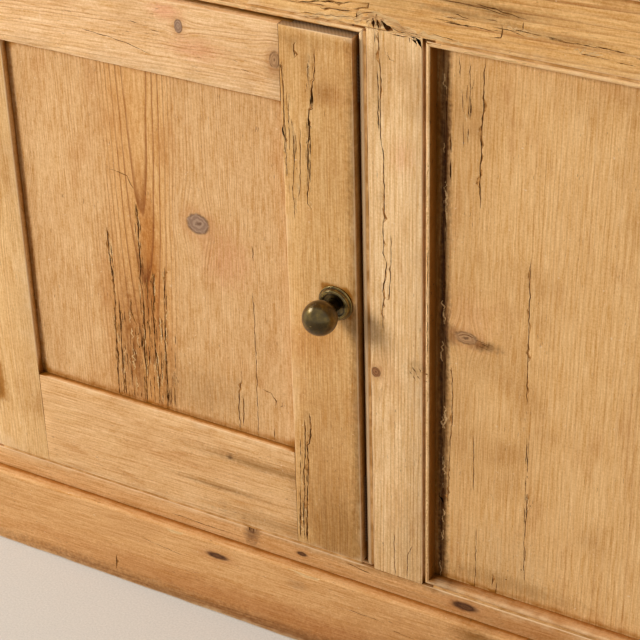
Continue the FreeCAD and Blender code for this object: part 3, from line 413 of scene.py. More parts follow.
# A knot is its place across and up, its half width and half height, and its kind. A stain has a tint and a
# strength in place of the kind
materials = {
    "pine_waxed": pine("pine_waxed", loose=True),
    "pine_panel": pine("pine_panel", PANEL_LIGHT, PANEL_LATE, loose=True),
    "pine_inside": pine("pine_inside", DRY_LIGHT, DRY_LATE, 0.5, loose=True),
    "post_left": pine(
        "pine_post", srgb(240, 198, 144), contrast=0.85, spacing=0.0034,
        knots=[(-233.6, 338.6, 4.8, 5.2, "brown")],
        stains=[
            (-192, 200, 18, 120, BROWN, 0.25), (-194, 352, 8, 9, BROWN, 0.5), (-205, 560, 10, 14, RED, 0.25),
            (-228, 640, 6, 40, BROWN, 0.18), (-212, 136, 40, 46, BROWN, 0.3),
        ],
    ),
    "door_left_lock_stile": pine(
        "pine_lock_stile", srgb(216, 168, 108), contrast=0.7, spacing=0.0027,
        stains=[
            # The first stain is painted shade along the stile's right edge
            (-246.5, 400, 7, 330, BROWN, 0.85), (-300, 652, 60, 5, BROWN, 0.25),
            (-275, 608, 9, 8, BROWN, 0.3), (-264, 606, 23, 9, srgb(172, 100, 38), 0.25),
            (-272, 146, 38, 44, srgb(150, 104, 48), 0.6), (-268, 540, 20, 60, BROWN, 0.16),
            (-292, 360, 20, 24, srgb(196, 128, 60), 0.5), (-280, 200, 26, 110, srgb(168, 112, 58), 0.4),
        ],
    ),
    "door_left_top_rail": pine(
        "pine_top_rail", srgb(232, 187, 136), contrast=0.85, spacing=0.0034, swap=True,
        knots=[(-417.4, 640.5, 4.2, 6.6, "grey"), (-322.6, 627.7, 4.8, 8.0, "faint")],
        stains=[(-430, 652, 14, 7, RED, 0.55), (-402, 622, 22, 9, RED, 0.4), (-323, 622, 9, 13, BROWN, 0.45)],
    ),
    "door_left_bottom_rail": pine(
        "pine_bottom_door_rail", srgb(222, 174, 120), contrast=0.55, swap=True,
        stains=[
            (-352, 199, 66, 5.5, BROWN, 0.75), (-404, 159, 44, 3.2, BROWN, 0.7),
            (-452, 176, 60, 8, ORANGE, 0.3), (-391, 199.5, 3.4, 2.8, DUST, 0.95),
            (-330, 134, 70, 8, BROWN, 0.5),
        ],
    ),
    "door_left_panel": pine(
        "pine_door_panel", srgb(218, 171, 117), PANEL_LATE, 0.8, 0.0085, 14.0, 0.8,
        knots=[(-415.7, 444.2, 12.0, 10.5, "grey")],
        stains=[
            (-388, 415, 22, 26, RED, 0.35), (-476, 300, 20, 110, ORANGE, 0.6),
            (-516, 300, 14, 100, ORANGE, 0.55), (-430, 258, 46, 26, BROWN, 0.35),
            (-472, 400, 9, 60, ORANGE, 0.8), (-500, 290, 10, 60, srgb(150, 90, 28), 0.7),
            (-481, 350, 8, 40, srgb(150, 90, 28), 0.5), (-496, 520, 30, 70, ORANGE, 0.15),
        ],
    ),
    "middle_rail": pine(
        "pine_middle_rail", srgb(232, 182, 118), contrast=0.95, spacing=0.0062, swap=True,
        stains=[
            (-60, 704, 130, 34, srgb(190, 130, 66), 0.2), (-110, 708, 50, 5, BROWN, 0.4),
            (-221, 696, 26, 10, BROWN, 0.35), (-146, 707.4, 34, 3.4, DUST, 0.6),
            (-112, 704, 26, 3.0, DUST, 0.5), (-140, 697.4, 34, 3.4, DUST, 0.45),
            (-168, 698, 22, 2.2, DUST, 0.4), (-70, 693, 44, 3.4, DUST, 0.4),
        ],
    ),
    "bottom_rail": pine(
        "pine_bottom_rail", srgb(216, 164, 108), contrast=0.55, spacing=0.004, swap=True,
        knots=[(-143.3, 103.6, 14.0, 5.0, "dark"), (-318.4, 102.3, 6.0, 2.6, "dark")],
        stains=[
            (-375, 107, 7, 12, srgb(120, 84, 56), 0.9), (-200, 98, 120, 4, BROWN, 0.3),
            (-240, 115, 120, 6, BROWN, 0.6), (-169, 119, 14, 8, srgb(120, 76, 30), 0.8),
            (-60, 104, 90, 20, srgb(170, 112, 58), 0.5),
        ],
    ),
    "centre_panel": pine(
        "pine_centre_panel", srgb(228, 180, 120), PANEL_LATE, 0.5, 0.0036,
        knots=[(-151.2, 390.6, 11.0, 6.0, "faint")],
        stains=[
            # The first two are a painted shadow that the post casts on the panel's left edge, with some dirt
            (-179.5, 390, 7, 400, srgb(140, 92, 30), 1.0), (-172.4, 390, 4.2, 1200, srgb(92, 52, 12), 1.0),
            (-152, 590, 26, 150, srgb(176, 120, 62), 0.22), (-135, 387, 13, 4.5, srgb(112, 74, 34), 1.0),
            (-166, 389, 7, 9, srgb(124, 84, 40), 0.9), (-150, 408, 24, 26, RED, 0.2),
            (-138, 372, 20, 14, BROWN, 0.15), (-130, 240, 50, 100, srgb(184, 128, 68), 0.12),
            (-110, 150, 40, 40, GREY, 0.2), (-104, 135, 60, 9, BROWN, 0.5),
        ],
    ),
    "plinth": pine(
        "pine_plinth", srgb(214, 161, 104), contrast=0.45, spacing=0.0048, swap=True,
        knots=[(-409.8, 75.6, 13.0, 3.6, "dark")],
        stains=[
            # The second is painted shadow along the plinth's foot, where it meets the floor, with some dirt
            (-400, 26, 220, 16, srgb(176, 112, 54), 0.5), (-350, 6, 300, 9, srgb(128, 84, 44), 0.8),
            (-60, 40, 170, 44, srgb(170, 112, 58), 0.5), (-318, 73, 10, 5, GREY, 0.4),
            (-124, 82, 20, 8, BROWN, 0.9), (-150, 20, 200, 18, srgb(172, 108, 52), 0.55),
        ],
    ),
    "aged_brass": metal(
        "aged_brass", srgb(120, 96, 36), srgb(200, 170, 90), srgb(70, 54, 16), 0.26, 0.40, coat=0.6,
    ),
    "latch_iron": metal("latch_iron", srgb(96, 90, 84), srgb(140, 134, 126), srgb(58, 50, 44), 0.45, 0.7),
    "hinge_steel": metal(
        "hinge_steel", srgb(124, 116, 104), srgb(170, 162, 150), srgb(74, 60, 48), 0.35, 0.6,
    ),
}


def raw_wood(name, deep, middle, pale, stretch=(210.0, 210.0, 210.0), rough=0.85):
    """Torn or dirty wood, inside a crack or on its broken edges."""
    material, g = new_material(name)
    place = g.place()
    parts = g.separate(place)
    patch = g.noise(g.vector(*(g.times(part, scale) for part, scale in zip(parts, stretch))), 1.0, 3.0, 0.65)
    fine = g.noise(place, 900.0, 2.0, 0.6)
    color = g.mix(g.ramp(patch, -0.12, 0.14), deep, middle)
    color = g.mix(g.ramp(g.plus(patch, g.times(fine, 0.6)), 0.14, 0.32), color, pale)
    g.show(g.surface(color, rough, Specular_IOR_Level=0.0))
    return material


CRACK = raw_wood("pine_crack", srgb(88, 54, 26), srgb(136, 86, 44), srgb(192, 142, 92))
CHIP = raw_wood("pine_chip", srgb(158, 106, 56), srgb(204, 150, 88), srgb(232, 192, 138))
FRAY = raw_wood("pine_fray", srgb(204, 162, 110), srgb(228, 190, 138), srgb(240, 212, 168),
                stretch=(70.0, 300.0, 520.0))
WAX = raw_wood("pine_wax", srgb(186, 134, 76), srgb(220, 170, 112), srgb(238, 202, 152),
               stretch=(60.0, 60.0, 60.0), rough=0.6)


# Boards

FACES = {n: ([v.co.copy() for v in node.data.vertices], [tuple(f.vertices) for f in node.data.polygons])
         for n, node in nodes.items()}
BOXES = {n: (Vector(map(min, zip(*points))), Vector(map(max, zip(*points))))
         for n, (points, _) in FACES.items()}
# How far round a point other pieces shelter it, in metres
REACH = 0.016
# Turns the rays of sky() apart, in radians
GOLDEN_ANGLE = 2.39996


def neighbours(name):
    """A tree of the CAD surfaces of the pieces round a node."""
    low, high = BOXES[name]
    points, faces = [], []
    for other, (corners, rings) in FACES.items():
        least, most = BOXES[other]
        if other == name or any(most[i] < low[i] - REACH or least[i] > high[i] + REACH for i in range(3)):
            continue
        base = len(points)
        points += corners
        faces += [[base + i for i in ring] for ring in rings]
    return BVHTree.FromPolygons(points, faces) if faces else None


def freedom(tree, point, touching, span):
    """How free of other pieces a point is, from 0 at a distance of touching to 1 a span further on."""
    found = tree.find_nearest(point, REACH) if tree else (None,)
    room = REACH if found[0] is None else found[3]
    return min(1.0, max(0.0, room - touching) / span)


def sky(count):
    """Directions spread over the half of a ball round +Z."""
    rays = []
    for k in range(count):
        z = 1.0 - (k + 0.5) / count * 0.93
        turn = k * GOLDEN_ANGLE
        rays.append(Vector((math.sqrt(1 - z * z) * math.cos(turn), math.sqrt(1 - z * z) * math.sin(turn), z)))
    return rays


def shelter(point, normal, trees, rays):
    """How much of what lies before a point is near surface, from 0 to 1."""
    frame_turn = normal.to_track_quat("Z", "Y")
    origin = point + normal * 0.0004
    total = 0.0
    for ray in rays:
        way = frame_turn @ ray
        near = 0.0
        for tree, weight in trees:
            hit = tree.ray_cast(origin, way, REACH)
            if hit[0] is not None:
                near = max(near, weight * (1.0 - hit[3] / REACH))
        total += near
    return total / len(rays)


def islands(bm):
    """Groups of joined vertices."""
    seen = set()
    for start in bm.verts:
        if start.index in seen:
            continue
        seen.add(start.index)
        group, queue = [], [start]
        while queue:
            vert = queue.pop()
            group.append(vert)
            for edge in vert.link_edges:
                other = edge.other_vert(vert)
                if other.index not in seen:
                    seen.add(other.index)
                    queue.append(other)
        yield group


def parted(source):
    """A welded copy of a node's mesh in which solids that touch, as at a mitre, stay apart."""
    keys = [tuple(round(c, 5) for c in v.co) for v in source.vertices]
    corners = [[keys[i] for i in face.vertices] for face in source.polygons]
    users = {}
    for number, ring in enumerate(corners):
        for start, stop in zip(ring, ring[1:] + ring[:1]):
            users.setdefault(frozenset((start, stop)), []).append(number)
    owner = [None] * len(corners)
    sums = []
    for first in range(len(corners)):
        if owner[first] is not None:
            continue
        owner[first] = len(sums)
        sums.append([Vector((0, 0, 0)), 0.0])
        queue = [first]
        while queue:
            face = queue.pop()
            area = source.polygons[face].area
            sums[-1][0] += source.polygons[face].center * area
            sums[-1][1] += area
            ring = corners[face]
            for start, stop in zip(ring, ring[1:] + ring[:1]):
                joined = users[frozenset((start, stop))]
                for other in joined:
                    if len(joined) == 2 and owner[other] is None:
                        owner[other] = owner[face]
                        queue.append(other)
    middles = [total / max(area, 1e-12) for total, area in sums]
    group_faces = {}
    for face, group in enumerate(owner):
        group_faces.setdefault(group, []).append(face)
    settled = dict(enumerate(owner))
    for group, members in group_faces.items():
        rings = [corners[face] for face in members]
        rims = {frozenset(pair) for ring in rings for pair in zip(ring, ring[1:] + ring[:1])}
        near = {owner[other] for rim in rims if len(users[rim]) > 2 for other in users[rim]} - {group}
        if not near or len(members) > 4:
            continue
        normal = source.polygons[members[0]].normal
        home = min(near, key=lambda other: (normal.dot(middles[other] - middles[group]),
                                            -len(group_faces[other])))
        if len(group_faces[home]) > len(members):
            for face in members:
                settled[face] = home
    bm = bmesh.new()
    made = {}
    for face, ring in enumerate(corners):
        verts = []
        for key in ring:
            mark = (settled[face], key)
            if mark not in made:
                made[mark] = bm.verts.new(key)
            if made[mark] not in verts:
                verts.append(made[mark])
        if len(verts) > 2 and not bm.faces.get(verts):
            bm.faces.new(verts)
    bm.normal_update()
    bm.verts.index_update()
    return bm


def closed_mesh(name, points, faces, own_materials, kinds=None):
    """A mesh of closed bodies with their normals outward. kinds gives each face's material."""
    mesh = bpy.data.meshes.new(name)
    mesh.from_pydata(points, [], faces)
    for material in own_materials:
        mesh.materials.append(material)
    if kinds:
        mesh.polygons.foreach_set("material_index", kinds)
    bm = bmesh.new()
    bm.from_mesh(mesh)
    bmesh.ops.recalc_face_normals(bm, faces=bm.faces)
    bm.to_mesh(mesh)
    bm.free()
    return mesh


def in_scene(name, data):
    thing = bpy.data.objects.new(name, data)
    scene.collection.objects.link(thing)
    return thing


def add_piece(name, mesh, body, slot, node=None):
    """A piece of the object, on its body. It stands for a CAD node where one is named."""
    piece = in_scene(name, mesh)
    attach(piece, body)
    if node:
        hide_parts(node)


# Material slots of a piece with cracks, after its own
CRACK_SLOT, CHIP_SLOT, FRAY_SLOT = 1, 2, 3
# In metres: how far a cutter stands before the front, and the steps of a pale torn strip and of a crack
MOUTH, STRIP_STEP, CRACK_STEP = 0.002, 0.005, 0.0045
# In millimetres: the depth from which a crack's edges are chipped, and that up to which dust fills its foot
CHIPPED_FROM, DUSTY_TO = 2.5, 4.0
# In millimetres: the step along a torn band and the deepest crack in it. BAND_CRACKS is for each millimetre
BAND_STEP, BAND_DEEPEST, BAND_CRACKS = 3.0, 2.4, 0.16


def wedge(points, faces, kinds, fine, halves, sinks, front, kind, rng):
    """Adds one wedge along a line to a cutter. Its mouth stands before the front."""
    base = len(points)
    last = len(fine) - 1
    for k, point in enumerate(fine):
        ahead = (fine[min(k + 1, last)] - fine[max(k - 1, 0)]).normalized()
        side = Vector((-ahead.z, 0.0, ahead.x))
        lean = rng.uniform(-halves[k], halves[k]) / 3
        for offset, y in ((-halves[k], front - MOUTH), (halves[k], front - MOUTH), (lean, front + sinks[k])):
            points.append(point + side * offset + Vector((0.0, y, 0.0)))
    for k in range(last):
        i = base + 3 * k
        faces += [(i, i + 1, i + 4, i + 3), (i + 1, i + 2, i + 5, i + 4), (i + 2, i, i + 3, i + 5)]
    faces += [(base, base + 2, base + 1), (base + 3 * last, base + 3 * last + 1, base + 3 * last + 2)]
    kinds += [kind] * (3 * last + 2)


def torn(line, rng):
    """A band of short broken cracks and pale torn strips along a path. The band's width comes last."""
    width, depth, path, band = line
    steps = []
    for (x0, z0), (x1, z1) in zip(path, path[1:]):
        count = max(1, round(math.hypot(x1 - x0, z1 - z0) / BAND_STEP))
        steps += [(x0 + (x1 - x0) * k / count, z0 + (z1 - z0) * k / count) for k in range(count)]
    steps.append(path[-1])
    flat = abs(path[-1][0] - path[0][0]) > abs(path[-1][1] - path[0][1])
    made = []
    for k in range(max(2, round(len(steps) * BAND_STEP * BAND_CRACKS))):
        first = rng.randrange(max(1, len(steps) - 2))
        run = steps[first:first + rng.randint(2, 9)]
        if len(run) < 2:
            continue
        aside = rng.uniform(-band, band) / 2
        run = [(x, z + aside) if flat else (x + aside, z) for x, z in run]
        if k % 4 == 3:
            made.append((rng.uniform(0.4, 0.9), -rng.uniform(0.25, 0.45), run))
        else:
            made.append((width * rng.uniform(0.5, 1.2), min(depth, BAND_DEEPEST), run))
    return made


def crack_cutter(lines, front, seed):
    """Thin wedges along cracks, with broken edges. A line is width, depth and points, in mm."""
    rng = random.Random(seed)
    points, faces, kinds = [], [], []
    parts = [part for line in lines for part in (torn(line, rng) if len(line) == 4 else [line])]
    for width, depth, path in parts:
        path = [Vector((x, 0.0, z)) / 1000 for x, z in path]
        if depth <= 0.0:
            long = sum((stop - start).length for start, stop in zip(path, path[1:]))
            steps = max(1, round(long / STRIP_STEP / (len(path) - 1)))
            fine = [start.lerp(stop, k / steps) for start, stop in zip(path, path[1:]) for k in range(steps)]
            fine.append(path[-1])
            halves = [width * rng.uniform(0.75, 1.15) / 1000 for _ in fine]
            halves[0] = halves[-1] = width / 5000
            sinks = [-depth * rng.uniform(0.7, 1.1) / 1000 for _ in fine]
            # Sloping sides: the mouth is as much wider as it stands before the front
            halves = [half * (1.0 + MOUTH / sink) for half, sink in zip(halves, sinks)]
            wedge(points, faces, kinds, fine, halves, sinks, front, FRAY_SLOT, rng)
            continue
        fine = [path[0]]
        for start, stop in zip(path, path[1:]):
            steps = max(3 if len(path) == 2 else 1, round((stop - start).length / CRACK_STEP))
            side = Vector((start.z - stop.z, 0.0, stop.x - start.x)).normalized()
            for k in range(1, steps + 1):
                drift = rng.uniform(-0.0005, 0.0005) if k < steps else 0.0
                fine.append(start.lerp(stop, k / steps) + side * drift)
        last = len(fine) - 1
        chipped = depth >= CHIPPED_FROM
        depth *= 0.6 if depth <= DUSTY_TO else 1.0
        swell = [0.15 if k in (0, last) else rng.uniform(0.5, 1.35) for k in range(last + 1)]
        # At the front, behind the mouth, a wedge is narrower than at its mouth
        wide = 1.0 + 1000 * MOUTH / depth
        wedge(points, faces, kinds, fine, [width * w * wide / 2000 for w in swell],
              [depth * min(1.0, w) / 1000 for w in swell], front, CRACK_SLOT, rng)
        if not chipped:
            continue
        k = 0
        while k < last:
            run = rng.randint(2, 6)
            if rng.random() < 0.55 and k + run <= last:
                part = fine[k:k + run + 1]
                shift = Vector((rng.uniform(-0.4, 0.4) * width / 1000, 0.0, 0.0))
                ends = [0.2] + [rng.uniform(0.5, 1.2) for _ in part[2:]] + [0.2]
                halves = [(width * 0.5 + 0.9) * 5.0 * e / 1000 for e in ends]
                sinks = [0.0004 * e for e in ends]
                wedge(points, faces, kinds, [q + shift for q in part], halves, sinks, front, CHIP_SLOT, rng)
            k += run
    return in_scene("cutter", closed_mesh("cutter", points, faces, (None, CRACK, CHIP, FRAY), kinds))


def modified(mesh, kind, **settings):
    """What one modifier makes of a mesh."""
    thing = in_scene("work", mesh)
    modifier = thing.modifiers.new(kind, kind)
    for key, value in settings.items():
        setattr(modifier, key, value)
    made = bpy.data.meshes.new_from_object(thing.evaluated_get(bpy.context.evaluated_depsgraph_get()))
    bpy.data.objects.remove(thing)
    return made


# Lengths in metres and turns in radians
WIDEST_BEVEL = 0.005
NEXT_TO_AN_EDGE = 0.003
FLAT_TURN = math.radians(0.7)
ARRIS_TURN = math.radians(30)
SHARP_TURN = math.radians(32)
HOLLOW_TURN = -0.6
# How squarely a face lies across its board, as a share, to be end grain
END_GRAIN = 0.85


def cut_up(bm, cell):
    """Cuts a mesh along a grid, so that waves, wear and dirt have vertices to sit on."""
    for axis in range(3):
        marks = sorted({round(v.co[axis], 5) for v in bm.verts})
        low, high = marks[0], marks[-1]
        count = int((high - low) / cell)
        for k in range(1, count):
            level = low + (high - low) * k / count
            if min(abs(level - mark) for mark in marks) < NEXT_TO_AN_EDGE:
                continue
            where, way = Vector((0, 0, 0)), Vector((0, 0, 0))
            where[axis], way[axis] = level, 1.0
            geometry = bm.verts[:] + bm.edges[:] + bm.faces[:]
            bmesh.ops.bisect_plane(bm, geom=geometry, plane_co=where, plane_no=way, dist=1e-6)


def turning(edge):
    """How far the surface turns at an edge, or nought beside a crack."""
    if len(edge.link_faces) != 2 or any(face.material_index for face in edge.link_faces):
        return 0.0
    return edge.calc_face_angle_signed(0.0)


def weigh_arrises(mesh, tree, arris):
    """Gives each sharp edge the weight of its own bevel, the smallest where another piece is near."""
    bm = bmesh.new()
    bm.from_mesh(mesh)
    weights = bm.edges.layers.float.new("bevel_weight_edge")
    least = min(0.00022, arris / 2)
    for edge in bm.edges:
        if turning(edge) < ARRIS_TURN:
            continue
        middle = (edge.verts[0].co + edge.verts[1].co) / 2
        out = (edge.link_faces[0].normal + edge.link_faces[1].normal).normalized()
        free = freedom(tree, middle + out * 0.0015, 0.0006, 0.0014)
        radius = least + (arris - least) * free * (1.0 + 0.45 * noise.noise(middle * 30))
        beside = [near.edge for loop in edge.link_loops
                  for near in (loop.link_loop_prev, loop.link_loop_next)]
        spare = min(near.calc_length() for near in beside)
        edge[weights] = min(radius, spare * 0.42) / WIDEST_BEVEL
    bm.to_mesh(mesh)
    bm.free()


def wear_down(bm, tree, wear):
    """Wears the arrises and waves the surface. Returns how worn (above 0) or sheltered (below 0) each vertex
    is; the pine finish paints sheltered vertices darker, as painted shade with some dirt.
    """
    turns = {edge: turning(edge) for edge in bm.edges}
    hollows = KDTree(len(bm.verts))
    for vert in bm.verts:
        if any(turns[edge] < HOLLOW_TURN for edge in vert.link_edges):
            hollows.insert(vert.co, vert.index)
    hollows.balance()
    tones, shifts = [], []
    for vert in bm.verts:
        bend = [turns[edge] for edge in vert.link_edges]
        convex = min(1.0, sum(b for b in bend if b > 0.0))
        hollow = min(1.0, sum(-b for b in bend if b < 0.0) / 1.4)
        free = freedom(tree, vert.co + vert.normal * 0.0012, 0.0005, 0.0012) if convex > 0.05 else 0.0
        bite = max(0.0, noise.noise(vert.co * 45) + 0.15) * 0.0007
        bite += max(0.0, noise.noise(vert.co * 21) - 0.35) * 0.0022
        nook = hollows.find(vert.co)[2]
        gentle = 1.0 if nook is None else min(1.0, max(0.12, nook / 0.009))
        shifts.append(0.00006 + 0.00006 * noise.noise(vert.co * 9) + wear * convex * free * gentle * bite)
        tones.append(convex * (free * 0.9 - (1.0 - free) * 0.55) - hollow * 0.3)
    for vert, shift in zip(bm.verts, shifts):
        vert.co -= vert.normal * shift
    return tones


# Places on the left post and the lock stile, in metres: first deep, then across
POST_FACE, BEHIND_FACE, BEHIND_BEAD, FULL_SHADE_AND_DIRT = -0.214, -0.2138, -0.2132, 0.008
LEFT_BEAD_END, RIGHT_BEAD, RIGHT_SIDE, POST_END, STILE_EDGE = -0.2375, -0.1846, -0.1835, -0.1800, -0.2462


def shade_and_dirt_at(name, point, shade_and_dirt):
    """The painted shade, with some dirt, at a place, in metres: what the photograph shows there, added to
    what shelter gathers.
    """
    if name == "post_left":
        # The side towards the fixed panel gets the most painted shade, with some dirt, growing deeper in; the
        # right bead's outer flank gets painted shade; the bead beside the door the least
        deep_in = min(1.0, max(0.0, (point.y - POST_FACE) / FULL_SHADE_AND_DIRT))
        if point.x > RIGHT_SIDE and point.y > BEHIND_FACE:
            shade_and_dirt = max(shade_and_dirt, 0.17 + 0.5 * deep_in)
        if RIGHT_BEAD < point.x < POST_END and point.y > BEHIND_BEAD:
            shade_and_dirt = max(shade_and_dirt, 0.5)
        if point.x < LEFT_BEAD_END:
            shade_and_dirt *= 0.35
    # Painted shade on the right edge of the lock stile
    if name == "door_left_lock_stile" and point.x > STILE_EDGE:
        shade_and_dirt = max(shade_and_dirt, 0.5)
    return shade_and_dirt


def laid(name, number, group, pith):
    """How one board of a piece lies in its tree: its long axis, its places there, and its own shade."""
    rng = random.Random(f"{name} {number}")
    lows = [min(v.co[i] for v in group) for i in range(3)]
    highs = [max(v.co[i] for v in group) for i in range(3)]
    size = [most - least for least, most in zip(lows, highs)]
    deep, across, along = sorted(range(3), key=lambda i: size[i])
    middle = [(least + most) / 2 for least, most in zip(lows, highs)]
    if pith:
        centre, drift, start = (pith[0] / 1000, pith[1] / 1000), pith[2:], 0.0
    else:
        centre = (middle[across] + rng.uniform(-1.5, 1.5) * size[across],
                  middle[deep] + rng.choice((-1, 1)) * rng.uniform(0.02, 0.09))
        drift = (rng.uniform(-0.03, 0.03), rng.uniform(-0.03, 0.03))
        start = rng.uniform(-20, 20)

    def in_tree(point):
        reach = point[along] - middle[along]
        return (point[across] - centre[0] - drift[0] * reach, point[deep] - centre[1] - drift[1] * reach,
                point[along] + start)

    return along, in_tree, 0.0 if name in NEAR else rng.uniform(-1.0, 1.0)


def mark(bm, name, tones, trees, rays, pith, shade_and_grime):
    """Writes onto the vertices what the material reads, and keeps them in the CAD piece's box."""
    tone_layer, end_layer, shade_and_grime_layer, plank_layer = (
        bm.verts.layers.float.new(key) for key in ("tone", "end", "shade_and_grime", "plank"))
    board_layer = bm.verts.layers.float_vector.new("board")
    low, high = BOXES[name]
    for number, group in enumerate(islands(bm)):
        along, in_tree, shade = laid(name, number, group, pith)
        for vert in group:
            vert[plank_layer] = shade
            vert[board_layer] = in_tree(vert.co)
            # Paler beads: wear on the rails, painted light on the left post
            paler = WORN_AND_PAINTED_PALE_BEADS[name](vert.co.x * 1000, vert.co.z * 1000) if name in WORN_AND_PAINTED_PALE_BEADS else 0.0
            vert[tone_layer] = tones[vert.index] + paler
            vert[end_layer] = 1.0 if abs(vert.normal[along]) > END_GRAIN else 0.0
            # Painted shade with some dirt: how much nearby surfaces shelter the vertex, scaled for the piece,
            # more or less at the places set above
            vert[shade_and_grime_layer] = shade_and_dirt_at(name, vert.co, shelter(vert.co, vert.normal, trees, rays) * shade_and_grime)
            # Bevels at sharp mitres may leave the piece's own box by a hair
            vert.co = [min(max(c, least), most) for c, least, most in zip(vert.co, low, high)]


def worn_piece(name, cell, arris, wear, pith=None, cracks=(), front=None, shade_and_grime=1.0):
    """A copy of a CAD node with worn arrises, slight waves and its cracks, which replaces it.

    pith gives the place of the tree's middle: across, deep, and its drift in both along the board.
    """
    tree = neighbours(name)
    bm = parted(nodes[name].data)
    bmesh.ops.dissolve_limit(bm, angle_limit=FLAT_TURN, verts=bm.verts, edges=bm.edges)
    cut_up(bm, cell)
    mesh = bpy.data.meshes.new(name)
    bm.to_mesh(mesh)
    bm.free()
    for material in (materials.get(name, materials[slot_of[name]]), CRACK, CHIP, FRAY)[:4 if cracks else 1]:
        mesh.materials.append(material)
    if cracks:
        cutter = crack_cutter(cracks, front / 1000, name)
        mesh = modified(mesh, "BOOLEAN", operation="DIFFERENCE", solver="EXACT", use_self=True, object=cutter)
        bpy.data.objects.remove(cutter)
    weigh_arrises(mesh, tree, arris)
    mesh = modified(mesh, "BEVEL", width=WIDEST_BEVEL, segments=3, limit_method="WEIGHT",
                    use_clamp_overlap=False, loop_slide=False)
    bm = bmesh.new()
    bm.from_mesh(mesh)
    bm.verts.index_update()
    tones = wear_down(bm, tree, wear)
    trees = [(BVHTree.FromBMesh(bm), 0.45)] + ([(tree, 1.0)] if tree else [])
    mark(bm, name, tones, trees, sky(16 if front else 8), pith, shade_and_grime)
    bm.to_mesh(mesh)
    bm.free()
    custom = mesh.attributes.get("custom_normal")
    if custom:
        mesh.attributes.remove(custom)
    for polygon in mesh.polygons:
        polygon.use_smooth = True
    mesh.set_sharp_from_angle(angle=SHARP_TURN)
    add_piece(f"{name}_worn", mesh, body_of[name], slot_of[name], name)


# Where the fronts of the near pieces lie, in millimetres
DOOR, PANEL, FACE, FIXED, PLINTH = -221.0, -213.0, -214.0, -201.0, -226.5

# Beads made paler at a place across and up, in millimetres: on the rails worn pale by hands and cloths; on
# the left post painted light, on the bead beside the door against the door's shadow and as a narrow highlight
# on the right bead
WORN_AND_PAINTED_PALE_BEADS = {
    "middle_rail": lambda x, z: 0.5 if z < 670.6 else 0.0,
    "bottom_rail": lambda x, z: 0.45 if z > 114.4 else 0.0,
    "post_left": lambda x, z: 0.9 if x < -240.8 else 0.3 if -186.8 < x < -184.6 else 0.0,
}


def read_cracks(text):
    """Cracks on a front: width, depth and, after the colon, points across and up, in millimetres.

    A depth below nought is a pale torn strip. A third number before the colon is the width of a band of short
    cracks along the points.
    """
    cracks = []
    for crack in text.split(";"):
        sizes, points = crack.split(":")
        width, depth, *band = map(float, sizes.split())
        path = [tuple(map(float, point.split())) for point in points.split(",")]
        cracks.append((width, depth, path, *band))
    return cracks


